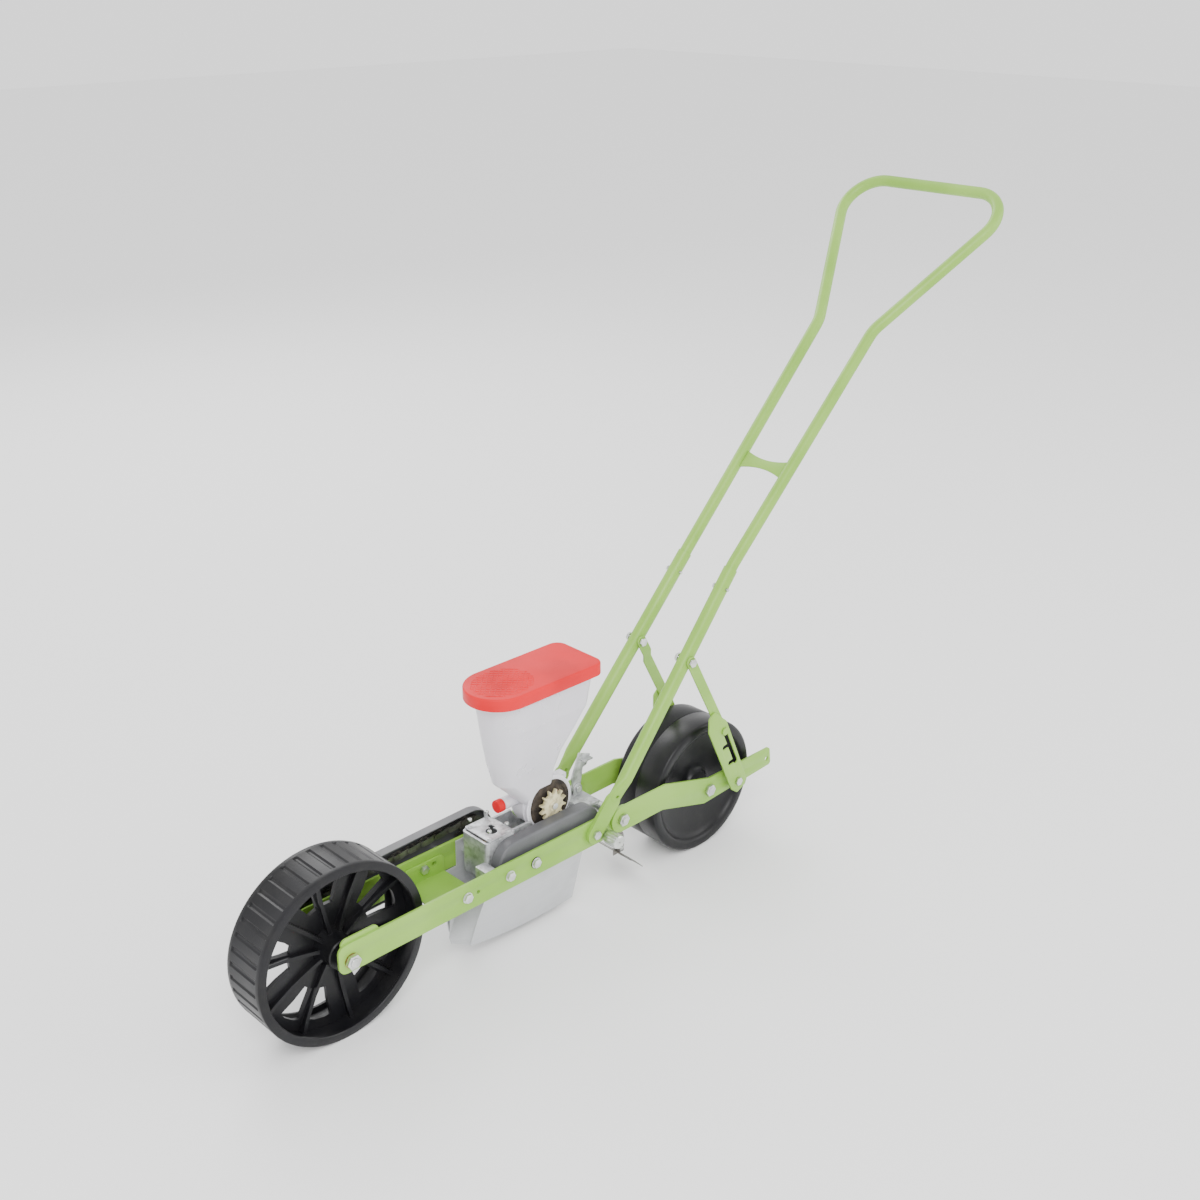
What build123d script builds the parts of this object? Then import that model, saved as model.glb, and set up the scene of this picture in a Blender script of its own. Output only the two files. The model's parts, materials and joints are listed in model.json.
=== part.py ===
# Hand-pushed single-row seeder: ground wheel, chain-driven seed roller, furrow opener, press wheel.
# Frame: X runs from front to rear (the seeder is pushed towards -X), -Y is its left side, Z is up.
# Origin: on the ground, under the middle of the whole machine. Lengths in millimetres.
import os
from math import atan2, cos, degrees, hypot, pi, radians, sin

from build123d import *

os.makedirs("parts", exist_ok=True)

# ---------------------------------------------------------------- driving dimensions
front_wheel_r = 135.0
front_wheel_w = 76.0
rear_wheel_r = 113.5
rear_wheel_w = 90.0
wheelbase = 704.0
grip_reach = 1284.0        # front axle to the middle of the grip bar
grip_height = 1009.0
grip_corner_half = 176.0   # where the grip bar and a side tube would meet, from the middle

bar_gap = 100.0            # between the inner faces of the side bars
bar_t = 4.0
bar_h = 44.0
bar_nose = 20.0            # side bar in front of the axle

upper_tube_r = 9.5
tube_wall = 1.5
tube_fit = 0.1             # upper tube inside a lower tube, on the radius
lower_tube_r = upper_tube_r + tube_fit + tube_wall

axle_r = 7.0
shaft_r = 6.0
bolt_r = 4.0
hole_fit = 0.2             # bolt in its hole, on the radius
running_fit = 0.06         # shaft in its bush, on the radius
body_gap = 0.5             # between plates that move past each other
washer_t = 1.2

# ---------------------------------------------------------------- stations along the frame
axle_x = -(grip_reach + upper_tube_r - front_wheel_r) / 2
axle_z = front_wheel_r
bar_z = axle_z + 5.0
bar_top = bar_z + bar_h / 2
bar_low = bar_z - bar_h / 2
inner_y = bar_gap / 2
outer_y = inner_y + bar_t
foot_x = axle_x + 447.0
pivot_x = axle_x + 505.0
pivot_z = bar_z + 2.0
bar_end_r = bar_h / 2
rear_axle_x = axle_x + wheelbase
rear_axle_z = rear_wheel_r
bracket_x = axle_x + 200.0
opener_bolt_x = (axle_x + 280.0, axle_x + 330.0)
coverer_rod_x = axle_x + 470.0
coverer_rod_z = bar_low + 10.5
coverer_rod_r = 5.0

# ---------------------------------------------------------------- drive train
counter_x = axle_x + 302.0
counter_z = bar_z + 10.0
meter_x = axle_x + 394.0
meter_z = bar_z + 6.0
roller_x = meter_x
roller_z = meter_z + 52.0
star_teeth = 12
drive_teeth = 16
gear_module = 2 * (roller_z - meter_z) / (star_teeth + drive_teeth)
sprocket_teeth = 12
wheel_chain_pitch = 12.7
meter_chain_pitch = 9.525
wheel_chain_y = outer_y + 12.0
meter_chain_y = -inner_y + 15.0
sprocket_t = 3.0
plate_gap = 0.4            # sprocket to chain side plate
chain_plate_t = 2.4

guard_wall = 1.5
right_guard_r = 40.0
right_guard_in = outer_y + 4.5
right_guard_out = outer_y + 22.0
left_guard_r = 33.0
left_guard_out = -inner_y + 6.0
left_guard_in = -inner_y + 23.3
guard_rear_x = axle_x + 438.0
case_plate_t = 1.5

gear_y_low = left_guard_in + 0.2 + case_plate_t + 1.0
gear_w = 6.0
gear_y_high = gear_y_low + gear_w

roller_r = 38.0
roller_w = 36.0
roller_y_low = gear_y_high + 2.7
roller_y_high = roller_y_low + roller_w
housing_fit = 0.6
housing_wall = 3.0
housing_r = roller_r + housing_fit + housing_wall
housing_y_low = roller_y_low + 0.4
housing_y_high = roller_y_high + 1.5 + housing_wall
saddle_fit = 0.4
roller_shaft_r = 5.0

# ---------------------------------------------------------------- hopper and lid
hopper_top_z = bar_z + 264.0
hopper_wall = 2.5
lid_wall = 2.5
lid_h = 19.0
lid_fit = 1.0
rim_out = 2.0
neck_y = (housing_y_low + housing_y_high) / 2
neck_half = (housing_y_high - housing_y_low) / 2
# Each section: height, front, rear, half width, middle.
hopper_sections = (
    (hopper_top_z, 279.0, 462.0, 46.0, 0.0),
    (bar_z + 215.0, 286.0, 453.0, 43.0, 0.0),
    (bar_z + 182.0, 291.0, 433.0, 38.0, 0.3 * neck_y),
    (bar_z + 148.0, 297.0, 412.0, 31.0, 0.6 * neck_y),
    (bar_z + 115.0, 306.0, 403.0, 24.0, 0.9 * neck_y),
    (bar_z + 84.0, 337.0, 401.0, neck_half, neck_y),
    (bar_z + 68.0, 350.0, 400.0, neck_half, neck_y),
)


# ---------------------------------------------------------------- shared shapes
def side_plane(y):
    # Local x is X, local y is Z, and extruding grows towards -Y.
    return Plane.XZ.offset(-y)


def add_disc(x, z, r, y_low, y_high, mode=Mode.ADD):
    with BuildSketch(side_plane(y_high)) as face:
        with Locations((x, z)):
            Circle(r)
    extrude(face.sketch, amount=y_high - y_low, mode=mode)


def add_ring(x, z, r_out, r_in, y_low, y_high):
    with BuildSketch(side_plane(y_high)) as face:
        with Locations((x, z)):
            Circle(r_out)
            Circle(r_in, mode=Mode.SUBTRACT)
    extrude(face.sketch, amount=y_high - y_low)


def add_hex(x, z, half_flats, y_low, y_high):
    with BuildSketch(side_plane(y_high)) as face:
        with Locations((x, z)):
            RegularPolygon(half_flats, 6, major_radius=False)
    extrude(face.sketch, amount=y_high - y_low)


def add_outline(points, y_low, y_high, mode=Mode.ADD):
    with BuildSketch(side_plane(y_high)) as face:
        with BuildLine():
            Polyline(*points, close=True)
        make_face()
    extrude(face.sketch, amount=y_high - y_low, mode=mode)


def add_box(x_low, x_high, y_low, y_high, z_low, z_high, mode=Mode.ADD):
    with BuildSketch(Plane.XY.offset(z_low)) as face:
        with Locations(((x_low + x_high) / 2, (y_low + y_high) / 2)):
            Rectangle(x_high - x_low, y_high - y_low)
    extrude(face.sketch, amount=z_high - z_low, mode=mode)


def add_bolt(x, z, y_head, y_tip, r=bolt_r, nut=True):
    # Hex head and washer outside y_head, shank to y_tip, nut just inside the tip.
    out = 1 if y_head > y_tip else -1
    head = 1.25 * r
    add_disc(x, z, r, *sorted((y_head, y_tip)))
    add_hex(x, z, 1.6 * r, *sorted((y_head, y_head + out * head)))
    add_disc(x, z, 2.1 * r, *sorted((y_head, y_head + out * washer_t)))
    if nut:
        nut_y = y_tip + out * 1.0
        add_hex(x, z, 1.6 * r, *sorted((nut_y, nut_y + out * head)))


def pitch_radius(pitch):
    return pitch / 2 / sin(pi / sprocket_teeth)


def add_sprocket(x, z, pitch, y_mid, bore, hub_r, hub_low, hub_high, phase=0.0):
    ring = pitch_radius(pitch)
    roller = 0.33 * pitch
    with BuildSketch(side_plane(y_mid + sprocket_t / 2)) as face:
        with Locations((x, z)):
            Circle(ring + 0.55 * roller)
            with PolarLocations(ring, sprocket_teeth, start_angle=phase):
                Circle(roller, mode=Mode.SUBTRACT)
    extrude(face.sketch, amount=sprocket_t)
    add_disc(x, z, hub_r, hub_low, hub_high)
    add_disc(x, z, bore, hub_low - 1, hub_high + 1, mode=Mode.SUBTRACT)


def add_chain_plates(x1, z1, x2, z2, pitch, y_mid):
    # Two endless side plates around a pair of equal sprockets, with the teeth between them.
    ring = pitch_radius(pitch)
    half_h = 0.34 * pitch
    reach = hypot(x2 - x1, z2 - z1)
    lean = degrees(atan2(z2 - z1, x2 - x1))
    inner = sprocket_t / 2 + plate_gap
    for low in (y_mid + inner, y_mid - inner - chain_plate_t):
        with BuildSketch(side_plane(low + chain_plate_t)) as face:
            with Locations(((x1 + x2) / 2, (z1 + z2) / 2)):
                SlotCenterToCenter(reach, 2 * (ring + half_h), rotation=lean)
                SlotCenterToCenter(reach, 2 * (ring - half_h), rotation=lean, mode=Mode.SUBTRACT)
        extrude(face.sketch, amount=chain_plate_t)


def add_gear(x, z, teeth, module, y_low, y_high, bore, phase):
    # Tapered teeth with wide gaps, so that the pair runs with plenty of backlash.
    ring = teeth * module / 2
    root = ring - 1.1 * module
    tip = ring + 0.8 * module
    root_half = 0.62 * module
    tip_half = 0.26 * module
    with BuildSketch(side_plane(y_high)) as face:
        with Locations((x, z)):
            Circle(root)
            with PolarLocations(0, teeth, start_angle=phase):
                Polygon((root - 1, root_half), (root, root_half), (tip, tip_half),
                        (tip, -tip_half), (root, -root_half), (root - 1, -root_half), align=None)
            Circle(bore, mode=Mode.SUBTRACT)
    extrude(face.sketch, amount=y_high - y_low)


def d_face(z, front, rear, half, mid=0.0, grow=0.0):
    # Level outline with a round nose and two small rear corners.
    half_w = half + grow
    x_front = axle_x + front - grow
    x_rear = axle_x + rear + grow
    corner = 0.35 * half + grow
    with BuildSketch(Plane.XY.offset(z)) as face:
        with BuildLine():
            ThreePointArc((x_front + half_w, mid + half_w), (x_front, mid), (x_front + half_w, mid - half_w))
            Polyline((x_front + half_w, mid - half_w), (x_rear, mid - half_w),
                     (x_rear, mid + half_w), (x_front + half_w, mid + half_w))
        make_face()
        fillet(face.vertices().sort_by(Axis.X)[-2:], corner)
    return face.sketch


# ---------------------------------------------------------------- side bars and cross members
axle_bush_r = 11.0
doubler_t = 3.0

for side_name, side in (("left", -1), ("right", 1)):
    bar_y_low = min(side * inner_y, side * outer_y)
    with BuildPart() as side_bar:
        with BuildSketch(side_plane(bar_y_low + bar_t)) as bar_face:
            bar_x_low = axle_x - bar_nose
            bar_x_high = pivot_x + bar_end_r
            with Locations(((bar_x_low + bar_x_high) / 2, bar_z)):
                Rectangle(bar_x_high - bar_x_low, bar_h)
            fillet(bar_face.vertices().group_by(Axis.X)[0], 12)
            fillet(bar_face.vertices().group_by(Axis.X)[-1], 18)
        extrude(amount=bar_t)
        add_disc(axle_x, axle_z, axle_bush_r + 0.1, bar_y_low - 1, bar_y_low + bar_t + 1, Mode.SUBTRACT)
        for bolt_x in (bracket_x, *opener_bolt_x, foot_x):
            add_disc(bolt_x, bar_z, bolt_r + hole_fit, bar_y_low - 1, bar_y_low + bar_t + 1, Mode.SUBTRACT)
        add_disc(bracket_x + 20, bar_z, 3.2, bar_y_low - 1, bar_y_low + bar_t + 1, Mode.SUBTRACT)
        add_disc(pivot_x, pivot_z, shaft_r + hole_fit, bar_y_low - 1, bar_y_low + bar_t + 1, Mode.SUBTRACT)
        add_disc(coverer_rod_x, coverer_rod_z, coverer_rod_r + hole_fit,
                 bar_y_low - 1, bar_y_low + bar_t + 1, Mode.SUBTRACT)
        if side > 0:
            add_disc(counter_x, counter_z, shaft_r + 1, bar_y_low - 1, bar_y_low + bar_t + 1, Mode.SUBTRACT)
    side_bar.part.label = f"{side_name}_side_bar"
    export_step(side_bar.part, f"parts/{side_name}_side_bar.step")

# Stiffening plates round the axle, inside the bars, with their top edges standing above the bars.
doubler_out = inner_y - 0.1
with BuildPart() as axle_plates:
    for side in (-1, 1):
        doubler = sorted((side * doubler_out, side * (doubler_out - doubler_t)))
        with BuildSketch(side_plane(doubler[1])) as doubler_face:
            with Locations((axle_x + 18, axle_z + 6.5)):
                Rectangle(62, 55)
            fillet(doubler_face.vertices(), 9)
            with Locations((axle_x, axle_z)):
                Circle(axle_bush_r + 0.1, mode=Mode.SUBTRACT)
        extrude(doubler_face.sketch, amount=doubler_t)
axle_plates.part.label = "axle_plates"
export_step(axle_plates.part, "parts/axle_plates.step")

# Flanged bushes that the wheel axle turns in.
with BuildPart() as axle_bushes:
    for side in (-1, 1):
        bush_in = doubler_out - doubler_t - 0.2
        flange = sorted((side * bush_in, side * (bush_in - 2)))
        barrel = sorted((side * (bush_in - 1), side * (outer_y + 1)))
        add_ring(axle_x, axle_z, axle_bush_r, axle_r + running_fit, *barrel)
        add_ring(axle_x, axle_z, axle_bush_r + 4, axle_r + running_fit, *flange)
axle_bushes.part.label = "axle_bushes"
export_step(axle_bushes.part, "parts/axle_bushes.step")

# Channel between the bars behind the wheel, web down.
bracket_t = 3.0
bracket_len = 73.0
bracket_x_low = axle_x + 165
with BuildPart() as front_cross_bracket:
    with BuildSketch(Plane.YZ.offset(bracket_x_low)) as channel:
        half = inner_y - 0.1
        with Locations((0, bar_low + 16)):
            Rectangle(2 * half, 32)
        fillet(channel.vertices().group_by(Axis.Y)[0], 5)
        with Locations((0, bar_low + 16 + bracket_t)):
            Rectangle(2 * (half - bracket_t), 32, mode=Mode.SUBTRACT)
    extrude(amount=bracket_len)
    flange_corners = front_cross_bracket.edges().filter_by(Axis.Y).group_by(Axis.Z)[-1]
    fillet(flange_corners, 8)
    for bolt_x in (bracket_x, bracket_x + 20):
        add_disc(bolt_x, bar_z, bolt_r + hole_fit, -inner_y, inner_y, Mode.SUBTRACT)
front_cross_bracket.part.label = "front_cross_bracket"
export_step(front_cross_bracket.part, "parts/front_cross_bracket.step")

arm_t = 4.0
arm_in = outer_y + body_gap
arm_out = arm_in + arm_t
with BuildPart() as rear_pivot_rod:
    rod_end = arm_out + body_gap + 8
    add_disc(pivot_x, pivot_z, shaft_r, -rod_end, rod_end)
    add_disc(pivot_x, pivot_z, shaft_r + 3.2, -doubler_out, doubler_out)
    for side in (-1, 1):
        nut_span = sorted((side * (arm_out + body_gap), side * (arm_out + body_gap + 5.5)))
        add_hex(pivot_x, pivot_z, 9.0, *nut_span)
rear_pivot_rod.part.label = "rear_pivot_rod"
export_step(rear_pivot_rod.part, "parts/rear_pivot_rod.step")

# Bolts through the bars: cross bracket and furrow opener.
with BuildPart() as frame_bolts:
    for side in (-1, 1):
        add_bolt(bracket_x, bar_z, side * outer_y, side * (inner_y - bracket_t - 6.1))
        for bolt_x in opener_bolt_x:
            add_disc(bolt_x, bar_z, bolt_r, *sorted((side * outer_y, side * (inner_y - 5.2))))
            add_hex(bolt_x, bar_z, 1.6 * bolt_r, *sorted((side * outer_y, side * (outer_y + 5))))
            add_disc(bolt_x, bar_z, 2.1 * bolt_r, *sorted((side * outer_y, side * (outer_y + 1.2))))
frame_bolts.part.label = "frame_bolts"
export_step(frame_bolts.part, "parts/frame_bolts.step")

# ---------------------------------------------------------------- handle
sleeve_x = axle_x + 749.0
sleeve_z = bar_z + 347.0
sleeve_y = 48.7
foot_tube_y = outer_y + 8.0
bend_x = axle_x + 1069.0
bend_z = bar_z + 671.0
bend_y = 54.8
grip_x = axle_x + grip_reach
foot_t = 6.0
foot_half_w = 15.0
insert_len = 55.0


def on_lower_tube(side, x):
    # Point of a lower tube's centre line at a station x.
    along = (x - foot_x) / (sleeve_x - foot_x)
    return Vector(x, side * (foot_tube_y + along * (sleeve_y - foot_tube_y)), bar_z + along * (sleeve_z - bar_z))


link_top_x = axle_x + 644.0
for side_name, side in (("left", -1), ("right", 1)):
    foot_span = sorted((side * (outer_y + 0.2), side * (outer_y + 0.2 + foot_t)))
    flat_end = on_lower_tube(side, foot_x + 36)
    round_start = on_lower_tube(side, foot_x + 62)
    tube_end = on_lower_tube(side, sleeve_x)
    tube_dir = (tube_end - round_start).normalized()
    lean = degrees(atan2(tube_dir.Z, tube_dir.X))
    foot_mid = side * (outer_y + 0.2 + foot_t / 2)
    with BuildPart() as lower_tube:
        # Pressed-flat foot lying on the bar.
        flat_len = hypot(flat_end.X - foot_x, flat_end.Z - bar_z)
        with BuildSketch(side_plane(foot_span[1])) as foot_face:
            with Locations(((flat_end.X + foot_x) / 2, (flat_end.Z + bar_z) / 2)):
                SlotCenterToCenter(flat_len, 2 * foot_half_w, rotation=lean)
        extrude(amount=foot_t)
        cross = Vector(-tube_dir.Z, 0, tube_dir.X).normalized()
        with BuildSketch(Plane((flat_end.X, foot_mid, flat_end.Z), x_dir=cross, z_dir=tube_dir)):
            Ellipse(foot_half_w, foot_t / 2)
        with BuildSketch(Plane(round_start, x_dir=cross, z_dir=tube_dir)):
            Circle(lower_tube_r)
        loft()
        with BuildSketch(Plane(round_start, x_dir=cross, z_dir=tube_dir)):
            Circle(lower_tube_r)
        extrude(amount=(tube_end - round_start).length)
        with BuildSketch(Plane(round_start + tube_dir * 4, x_dir=cross, z_dir=tube_dir)):
            Circle(lower_tube_r - tube_wall)
        extrude(amount=(tube_end - round_start).length, mode=Mode.SUBTRACT)
        add_disc(foot_x, bar_z, bolt_r + hole_fit, foot_span[0] - 1, foot_span[1] + 1, Mode.SUBTRACT)
        hole_at = on_lower_tube(side, foot_x + 43)
        add_disc(hole_at.X, hole_at.Z, 3.0, foot_span[0] - 6, foot_span[1] + 12, Mode.SUBTRACT)
        link_at = on_lower_tube(side, link_top_x)
        tube_span = (link_at.Y - lower_tube_r - 1, link_at.Y + lower_tube_r + 1)
        add_disc(link_at.X, link_at.Z, bolt_r + hole_fit, *tube_span, Mode.SUBTRACT)
        pin_at = on_lower_tube(side, sleeve_x - 22)
        add_disc(pin_at.X, pin_at.Z, 2.5 + hole_fit, pin_at.Y - 13, pin_at.Y + 13, Mode.SUBTRACT)
    lower_tube.part.label = f"{side_name}_lower_tube"
    export_step(lower_tube.part, f"parts/{side_name}_lower_tube.step")

# One bent tube: both legs and the wide grip loop.
leg_points = []
for side in (-1, 1):
    top = on_lower_tube(side, sleeve_x)
    leg_dir = (top - on_lower_tube(side, foot_x)).normalized()
    leg_points.append((top - leg_dir * insert_len, top + leg_dir * 8,
                       Vector(bend_x, side * bend_y, bend_z),
                       Vector(grip_x, side * grip_corner_half, grip_height)))
handle_points = [*leg_points[0], *reversed(leg_points[1])]
handle_radii = [90.0, 62.0, 56.0, 56.0, 62.0, 90.0]
with BuildPart() as upper_handle:
    with BuildLine() as handle_path:
        FilletPolyline(*handle_points, radius=handle_radii)
    start_dir = (handle_points[1] - handle_points[0]).normalized()
    with BuildSketch(Plane(handle_points[0], x_dir=(0, 1, 0), z_dir=start_dir)):
        Circle(upper_tube_r)
        Circle(upper_tube_r - tube_wall, mode=Mode.SUBTRACT)
    sweep(path=handle_path.wires()[0])
    for side in (-1, 1):
        pin_at = on_lower_tube(side, sleeve_x - 22)
        add_disc(pin_at.X, pin_at.Z, 2.5 + hole_fit, pin_at.Y - 13, pin_at.Y + 13, Mode.SUBTRACT)
upper_handle.part.label = "upper_handle"
export_step(upper_handle.part, "parts/upper_handle.step")

# Waisted plate welded between the legs of the upper tube.
brace_at = 0.40
brace_x = sleeve_x + brace_at * (bend_x - sleeve_x)
brace_z = sleeve_z + brace_at * (bend_z - sleeve_z)
brace_y = sleeve_y + brace_at * (bend_y - sleeve_y) - upper_tube_r - 0.5
with BuildPart() as handle_brace:
    leg_slope = Vector(bend_x - sleeve_x, 0, bend_z - sleeve_z).normalized()
    with BuildSketch(Plane((brace_x, 0, brace_z), x_dir=(0, 1, 0), z_dir=Vector(leg_slope.Z, 0, -leg_slope.X))):
        with BuildLine():
            ThreePointArc((-brace_y, 15), (0, 8), (brace_y, 15))
            Line((brace_y, 15), (brace_y, -15))
            ThreePointArc((brace_y, -15), (0, -8), (-brace_y, -15))
            Line((-brace_y, -15), (-brace_y, 15))
        make_face()
    extrude(amount=1.5, both=True)
handle_brace.part.label = "handle_brace"
export_step(handle_brace.part, "parts/handle_brace.step")

with BuildPart() as handle_bolts:
    for side in (-1, 1):
        foot_face_y = outer_y + 0.2 + foot_t
        add_disc(foot_x, bar_z, bolt_r, *sorted((side * foot_face_y, side * (inner_y - 5.2))))
        add_hex(foot_x, bar_z, 6.4, *sorted((side * foot_face_y, side * (foot_face_y + 5))))
        add_hex(foot_x, bar_z, 6.4, *sorted((side * inner_y, side * (inner_y - 5.0))))
        pin_at = on_lower_tube(side, sleeve_x - 22)
        add_disc(pin_at.X, pin_at.Z, 2.5, pin_at.Y - 15, pin_at.Y + 12.5)
        add_hex(pin_at.X, pin_at.Z, 4.0, pin_at.Y + 12, pin_at.Y + 15)
handle_bolts.part.label = "handle_bolts"
export_step(handle_bolts.part, "parts/handle_bolts.step")

# ---------------------------------------------------------------- front wheel, axle and first sprocket
hub_half = front_wheel_w / 2 - 2
wheel_hub_r = 24.0
barrel_wall = 6.0
lip_w = 5.0
lip_depth = 12.0
web_t = 6.0
window_pairs = 5
pair_turn = -117.0         # lowest pair of windows, in degrees from +X towards +Z
window_near = 4.0          # degrees from the middle of a pair to the near edge of a window
window_far_in = 16.5
window_far_out = 23.0
window_rim = 22.0          # solid web between a window and the wheel's outside
window_bow = 2.0
window_in = wheel_hub_r + 41
window_out = front_wheel_r - window_rim
web_rib_t = 8.0
web_rib_w = 28.0
barrel_in_r = front_wheel_r - barrel_wall


def at_turn(r, turn):
    return (r * cos(radians(turn)), r * sin(radians(turn)))


with BuildPart() as front_wheel_rim:
    add_ring(axle_x, axle_z, front_wheel_r, barrel_in_r, -front_wheel_w / 2, front_wheel_w / 2)
    for side in (-1, 1):
        lip = sorted((side * (front_wheel_w / 2 - lip_w), side * front_wheel_w / 2))
        add_ring(axle_x, axle_z, front_wheel_r - 1, front_wheel_r - 1 - lip_depth, *lip)
front_wheel_rim.part.label = "front_wheel_rim"
export_step(front_wheel_rim.part, "parts/front_wheel_rim.step")

with BuildPart() as front_wheel_web:
    corner_r = window_out - window_bow
    with BuildSketch(side_plane(web_t / 2)) as web_face:
        with Locations((axle_x, axle_z)):
            Circle(barrel_in_r)
            with PolarLocations(0, window_pairs, start_angle=pair_turn):
                for side in (-1, 1):
                    Polygon(at_turn(window_in, side * window_near), at_turn(corner_r, side * window_near),
                            at_turn(window_out, side * (window_near + window_far_out) / 2),
                            at_turn(corner_r, side * window_far_out), at_turn(window_in, side * window_far_in),
                            align=None, mode=Mode.SUBTRACT)
    extrude(amount=web_t)
    with BuildSketch(side_plane(web_rib_w / 2)) as rib_face:
        with Locations((axle_x, axle_z)):
            with PolarLocations(0, 2 * window_pairs, start_angle=pair_turn):
                with Locations((barrel_in_r / 2, 0)):
                    Rectangle(barrel_in_r, web_rib_t)
            Circle(barrel_in_r, mode=Mode.INTERSECT)
    extrude(rib_face.sketch, amount=web_rib_w)
    add_disc(axle_x, axle_z, wheel_hub_r, -hub_half, hub_half)
    add_disc(axle_x, axle_z, axle_r + 0.05, -hub_half - 1, hub_half + 1, Mode.SUBTRACT)
front_wheel_web.part.label = "front_wheel_web"
export_step(front_wheel_web.part, "parts/front_wheel_web.step")

axle_left = -outer_y - 10
axle_right = wheel_chain_y + 6.0
nut_in = outer_y + 1 + body_gap
with BuildPart() as front_axle:
    add_disc(axle_x, axle_z, axle_r, axle_left, axle_right)
    chamfer(front_axle.edges().filter_by(GeomType.CIRCLE), 0.8)
    add_hex(axle_x, axle_z, 10, -nut_in - 6, -nut_in)
front_axle.part.label = "front_axle"
export_step(front_axle.part, "parts/front_axle.step")

with BuildPart() as wheel_sprocket:
    add_sprocket(axle_x, axle_z, wheel_chain_pitch, wheel_chain_y, axle_r + 0.05,
                 13, wheel_chain_y - 5.5, wheel_chain_y + 3)
wheel_sprocket.part.label = "wheel_sprocket"
export_step(wheel_sprocket.part, "parts/wheel_sprocket.step")

with BuildPart() as wheel_chain:
    add_chain_plates(axle_x, axle_z, counter_x, counter_z, wheel_chain_pitch, wheel_chain_y)
wheel_chain.part.label = "wheel_chain"
export_step(wheel_chain.part, "parts/wheel_chain.step")

# ---------------------------------------------------------------- countershaft
with BuildPart() as countershaft:
    add_disc(counter_x, counter_z, shaft_r, meter_chain_y - 4, wheel_chain_y + 5)
countershaft.part.label = "countershaft"
export_step(countershaft.part, "parts/countershaft.step")

with BuildPart() as counter_input_sprocket:
    add_sprocket(counter_x, counter_z, wheel_chain_pitch, wheel_chain_y, shaft_r + 0.05,
                 12, wheel_chain_y - 5, wheel_chain_y + 3)
counter_input_sprocket.part.label = "counter_input_sprocket"
export_step(counter_input_sprocket.part, "parts/counter_input_sprocket.step")

with BuildPart() as counter_output_sprocket:
    add_sprocket(counter_x, counter_z, meter_chain_pitch, meter_chain_y, shaft_r + 0.05,
                 10, meter_chain_y - 3, meter_chain_y + 5)
counter_output_sprocket.part.label = "counter_output_sprocket"
export_step(counter_output_sprocket.part, "parts/counter_output_sprocket.step")

with BuildPart() as meter_chain:
    add_chain_plates(counter_x, counter_z, meter_x, meter_z, meter_chain_pitch, meter_chain_y)
meter_chain.part.label = "meter_chain"
export_step(meter_chain.part, "parts/meter_chain.step")

# ---------------------------------------------------------------- chain guards
guard_front_z = axle_z + 8.0
guard_post_r = 5.0
guard_screw_r = 2.5
right_post_x = (axle_x + 100.0, axle_x + 244.0)
left_post_x = (axle_x + 348.0, axle_x + 452.0)


def stadium(x1, z1, x2, z2, r, y_low, y_high, mode=Mode.ADD):
    with BuildSketch(side_plane(y_high)) as face:
        with Locations(((x1 + x2) / 2, (z1 + z2) / 2)):
            SlotCenterToCenter(hypot(x2 - x1, z2 - z1), 2 * r, rotation=degrees(atan2(z2 - z1, x2 - x1)))
    extrude(face.sketch, amount=y_high - y_low, mode=mode)


right_guard_line = (axle_x, guard_front_z, counter_x, counter_z)
left_guard_line = (counter_x, counter_z, guard_rear_x, counter_z)

with BuildPart() as right_chain_guard:
    stadium(*right_guard_line, right_guard_r, right_guard_in, right_guard_out)
    outer_rim = right_chain_guard.faces().sort_by(Axis.Y)[-1].edges()
    fillet(outer_rim, 4)
    stadium(*right_guard_line, right_guard_r - guard_wall,
            right_guard_in - 1, right_guard_out - guard_wall, Mode.SUBTRACT)
    for post_x in right_post_x:
        add_disc(post_x, bar_z + 3, guard_screw_r + hole_fit, right_guard_out - 3, right_guard_out + 1,
                 Mode.SUBTRACT)
right_chain_guard.part.label = "right_chain_guard"
export_step(right_chain_guard.part, "parts/right_chain_guard.step")

with BuildPart() as left_chain_guard:
    stadium(*left_guard_line, left_guard_r, left_guard_out, left_guard_in)
    outer_rim = left_chain_guard.faces().sort_by(Axis.Y)[0].edges()
    fillet(outer_rim, 4)
    stadium(*left_guard_line, left_guard_r - guard_wall,
            left_guard_out + guard_wall, left_guard_in + 1, Mode.SUBTRACT)
    for post_x in left_post_x:
        add_disc(post_x, counter_z, guard_screw_r + hole_fit, left_guard_out - 1, left_guard_out + 3,
                 Mode.SUBTRACT)
left_chain_guard.part.label = "left_chain_guard"
export_step(left_chain_guard.part, "parts/left_chain_guard.step")

case_plate_low = left_guard_in + 0.2
with BuildPart() as chain_case_plate:
    stadium(*left_guard_line, left_guard_r, case_plate_low, case_plate_low + case_plate_t)
    for shaft_at in ((counter_x, counter_z), (meter_x, meter_z)):
        add_disc(*shaft_at, shaft_r + 1, case_plate_low - 1, case_plate_low + case_plate_t + 1, Mode.SUBTRACT)
chain_case_plate.part.label = "chain_case_plate"
export_step(chain_case_plate.part, "parts/chain_case_plate.step")

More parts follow.
